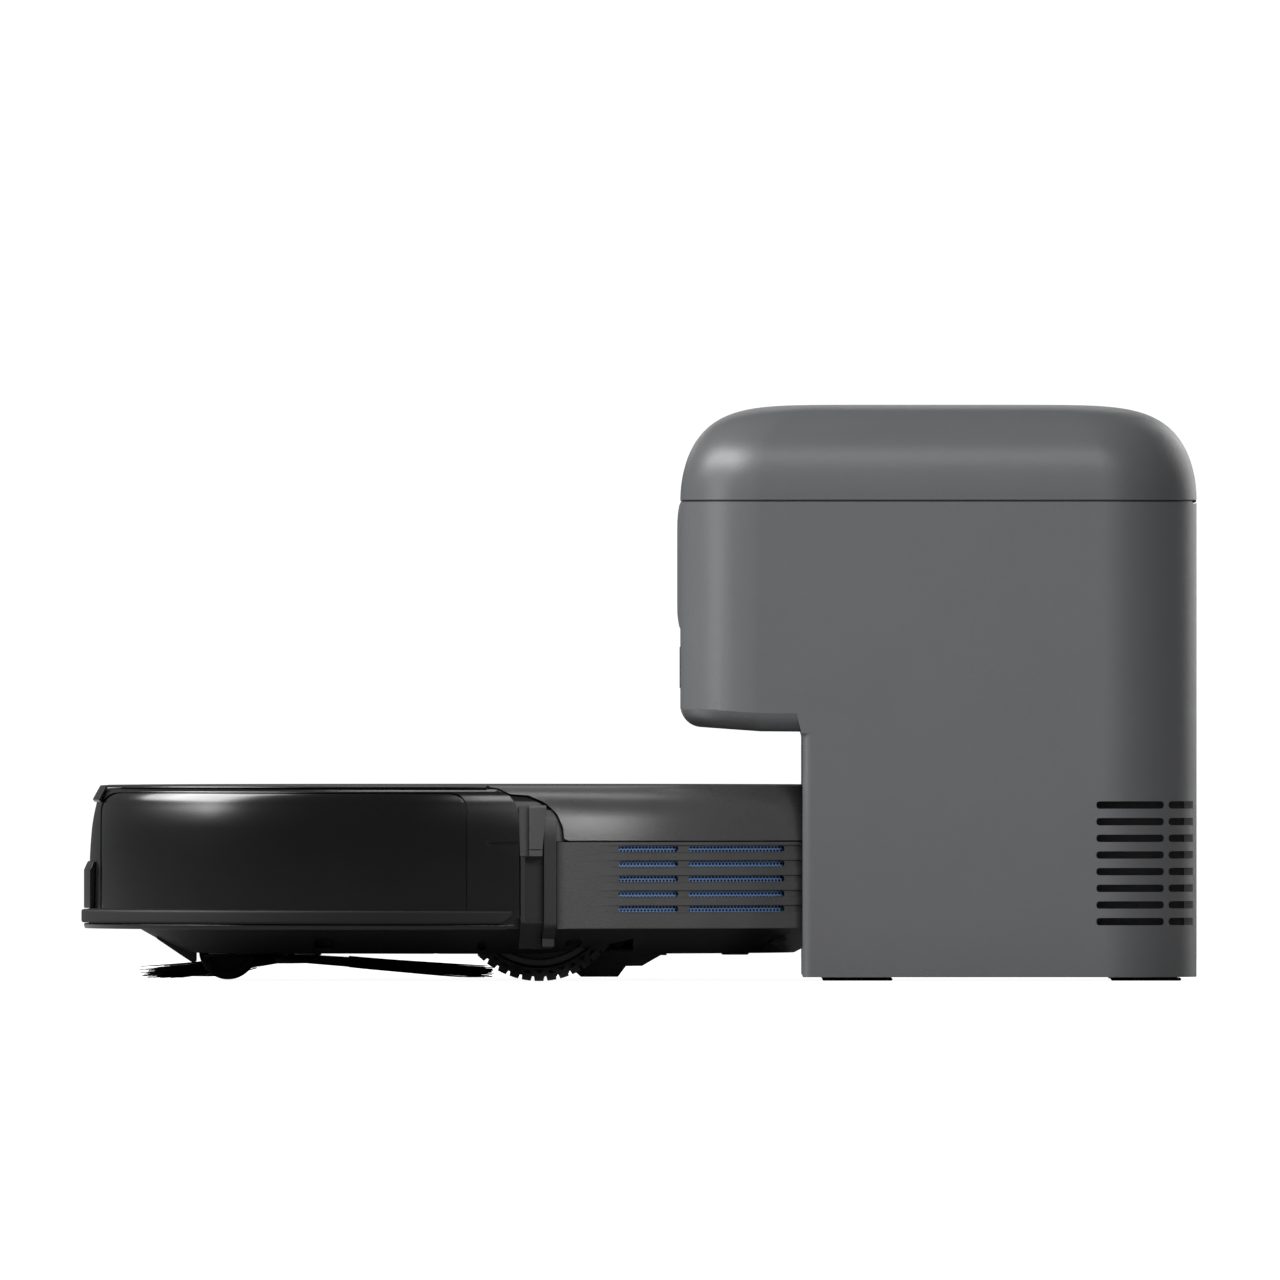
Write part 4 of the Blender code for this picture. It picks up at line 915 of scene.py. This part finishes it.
def dock_body():
    body = prism("dock_body_skin", plan(), 1.5, 197.2, DOCK)
    berth = [(0, 97), (167.5, 97), (167.5, -5), (0, -5)]
    cutters = [overhang_cut(), turned("berth", berth, None, (ROBOT_X, 0, 0), 240)]
    cutters.append(prism("upper_room", plan(3.5), 118, 210))
    room = [(x, y) for x, y in plan(3.5) if x > 120]
    lower = [point for point in room if point[1] >= 0] + [(112.0, 108.5), (112.0, -108.5)]
    cutters.append(prism("lower_room", lower + [point for point in room if point[1] < 0], -5, 112.0))
    cutters += [
        box("duct_way", (114, -26, 105), (180, 26, 125)),
        box("base_way", (71, -100.4, -5), (120, 100.4, 9.6)),
        box("port_way", (95, -27, 28), (120, 27, 54)),
        box("inlet_way", (220, -72.3, 19.7), (240, -43.7, 40.3)),
        turned("pin_way", [(0, 84), (1.2, 84), (1.2, -84), (0, -84)], None, HINGE_AT, 24, 1),
    ]
    low_row, pitch, half = 24.4, 6.857, 1.52
    for _, side in SIDES:
        near, far = sorted((side * 95, side * 120))
        wrap = sorted((side * 84, side * 120))
        for row in range(8):
            height = low_row + pitch * row
            slot = rect(188.6, height - half, 216.4, height + half)
            cutters.append(prism("vent", fillet(slot, 1.45, 6), near, far, None, "Y"))
            slot = [(218.4, height - half), (240, height - half, 0), (240, height + half, 0),
                    (218.4, height + half)]
            cutters.append(prism("vent", fillet(slot, 1.45, 6), *wrap, None, "Y"))
        rounded = [(x, side * y) for x, y in arc((71.4, 108.3), 3.7, 90, 180, 8)]
        corner = [(66.7, side * 113.0), (72.0, side * 113.0)] + rounded + [(66.7, side * 108.3)]
        cutters.append(prism("cheek", corner, -5, 101.9))
    cut(body, cutters)
    soften(body, 0.35, 2, 40)
    put(body, "dock", "dock_grey", "dock_body")

    def plate(half, low, high, corner, x):
        return [(x, y, z) for y, z in fillet(rect(-half, low, half, high), corner, 8)]

    rings = [plate(63, 144.9, 196.8, 7, 17.49), plate(62.4, 146.0, 195.9, 6.6, 17.0),
             plate(61, 148.6, 193.2, 6, 16.55), plate(59, 151.4, 189.5, 5, 16.25),
             plate(52, 156, 184, 4, 16.2)]
    put(stacked("dock_front_plate", rings, DOCK, 60), "dock", "dock_grey", "dock_front_panel")
    for name, side in SIDES:
        # painted shade: a black sheet behind each side's vents stands in for the shade inside the dock
        near, far = sorted((side * 78.0, side * 80.0))
        screen = prism(f"vent_shade_sheet_{name}", rect(186, 20.0, 226.3, 77.5), near, far, CHASSIS, "Y")
        put(soften(screen, 0.4), "dock", "chassis_black")
    seal = prism("lid_seal", plan(0.45), 197.15, 197.62, CHASSIS)
    cut(seal, [prism("room", plan(3.0), 190, 202), box("hinge_way", (228.1, -120, 190), (240, 120, 205))])
    put(seal, "dock", "chassis_black")
    lamp = fillet(rect(-1.6, 120.5, 1.6, 137.5), 1.55, 8)
    lamp = stacked("status_lamp", [[(x, y, z) for y, z in lamp] for x in (17.15, 17.7)], WINDOW)
    put(soften(lamp, 0.15), "dock", "smoked_window")


def dock_lid():
    """A crowned cover, shrunk ring by ring along a rounded shoulder, with a hollow underside."""
    middle, base, rise = 123.85, 197.8, 39.6

    def ring(share, height, inset):
        return [(middle + (x - middle) * share, y * share, height) for x, y in plan(inset, 24)]

    def crown(share, top):
        return top * max(1 - share**7.6, 0) ** 0.5

    shares = [1 - 0.72 * (step / 44) ** 2.2 for step in range(45)] + [0.2, 0.1]
    rings = [ring(1.0, base + 0.35, 0.0)]
    rings += [ring(share, base + 0.35 + crown(share, rise - 0.35), 0) for share in shares[1:]]
    inside = [0.1, 0.3, 0.5, 0.65, 0.75, 0.82, 0.88, 0.92, 0.95, 0.975, 0.99, 1.0]
    under = [ring(share, base + crown(share, rise - 3.5), 3.5) for share in inside]
    lid = stacked("dock_lid_skin", under + [ring(1.0, base, 0.35)] + rings, DOCK, 40)
    pin = turned("pin_way", [(0, 76), (1.0, 76), (1.0, -76), (0, -76)], None, HINGE_AT, 16, 1)
    cut(lid, [pin])
    put(lid, "lid", "dock_grey", "dock_lid")


def dust_bag():
    """A soft non-woven bag, part filled: puffed, creased, with a flat card collar at its inlet."""
    draw = random.Random(5)
    waves = [(draw.uniform(0.02, 0.07), draw.uniform(0, math.tau), draw.uniform(0, math.tau))
             for _ in range(9)]
    bm = bmesh.new()
    bmesh.ops.create_icosphere(bm, subdivisions=6, radius=1.0)
    for vert in bm.verts:
        x, y, z = vert.co
        squared = [math.copysign(abs(part) ** 0.42, part) for part in (x, y, z)]
        size = max(abs(part) for part in squared)
        flat = Vector(squared) / (sum(abs(part) ** 5 for part in squared) ** 0.2) * min(size * 2, 1)
        point = Vector((124 + 88.6 * flat.x, 86.6 * flat.y, 157 + 29.0 * flat.z))
        crease = sum(math.sin(k * (point.x * math.cos(a) + point.y * math.sin(a)) * 3 + b)
                     for k, a, b in waves) / 9
        edge = abs(flat.z) ** 3
        point.z -= math.copysign(1, z) * edge * (1.6 + 2.2 * crease)
        point.y *= 1 - 0.012 * (1 + crease)
        point.x = 124 + (point.x - 124) * (1 - 0.01 * (1 + crease))
        vert.co = point
    bag = to_object("dust_bag_cloth", bm, FILTER, 80)
    put(bag, "dock", "filter_white", "dust_bag")
    collar = fillet(rect(96, -30, 170, 30), 8, 8)
    collar = prism("dust_bag_collar", collar, 185.8, 187.9, INNER)
    grip = prism("grip", fillet(rect(104, -11, 116, 11), 4, 6), 180, 190)
    cut(collar, [grip])
    put(soften(collar, 0.4), "dock", "inner_plastic")


# ---- inner pieces keep their CAD shape
KEPT = {
    "battery_pack": INNER, "main_board": BOARD, "suction_fan": INNER, "charging_pad_left": STEEL,
    "charging_pad_right": STEEL, "bin_filter": FILTER, "caster_socket": INNER, "side_brush_motor": STEEL,
    "brush_guard": CHASSIS, "brush_housing": INNER, "brush_motor": STEEL, "evacuation_flap": RUBBER,
    "suspension_arm_left": INNER, "suspension_arm_right": INNER, "dock_base": DOCK, "suction_duct": INNER,
    "port_seal": RUBBER, "dock_fan_motor": INNER, "power_inlet": CHASSIS, "lid_hinge_pin": CHASSIS,
    "charging_contact_left": STEEL, "charging_contact_right": STEEL, "foot_front_left": RUBBER,
    "foot_front_right": RUBBER, "foot_rear_left": RUBBER, "foot_rear_right": RUBBER,
}


def carried_over():
    """Colour the CAD pieces that keep their shape."""
    for name, material in KEPT.items():
        node = frame["nodes"][name]
        node.data.materials.clear()
        node.data.materials.append(material)


studio()
bumper()
top()
sides()
dust_bin()
chassis()
for wheel_name, wheel_side in SIDES:
    drive_wheel(wheel_name, wheel_side)
caster()
side_brush()
main_brush()
dock_body()
dock_lid()
dust_bag()
carried_over()
sort_halves()
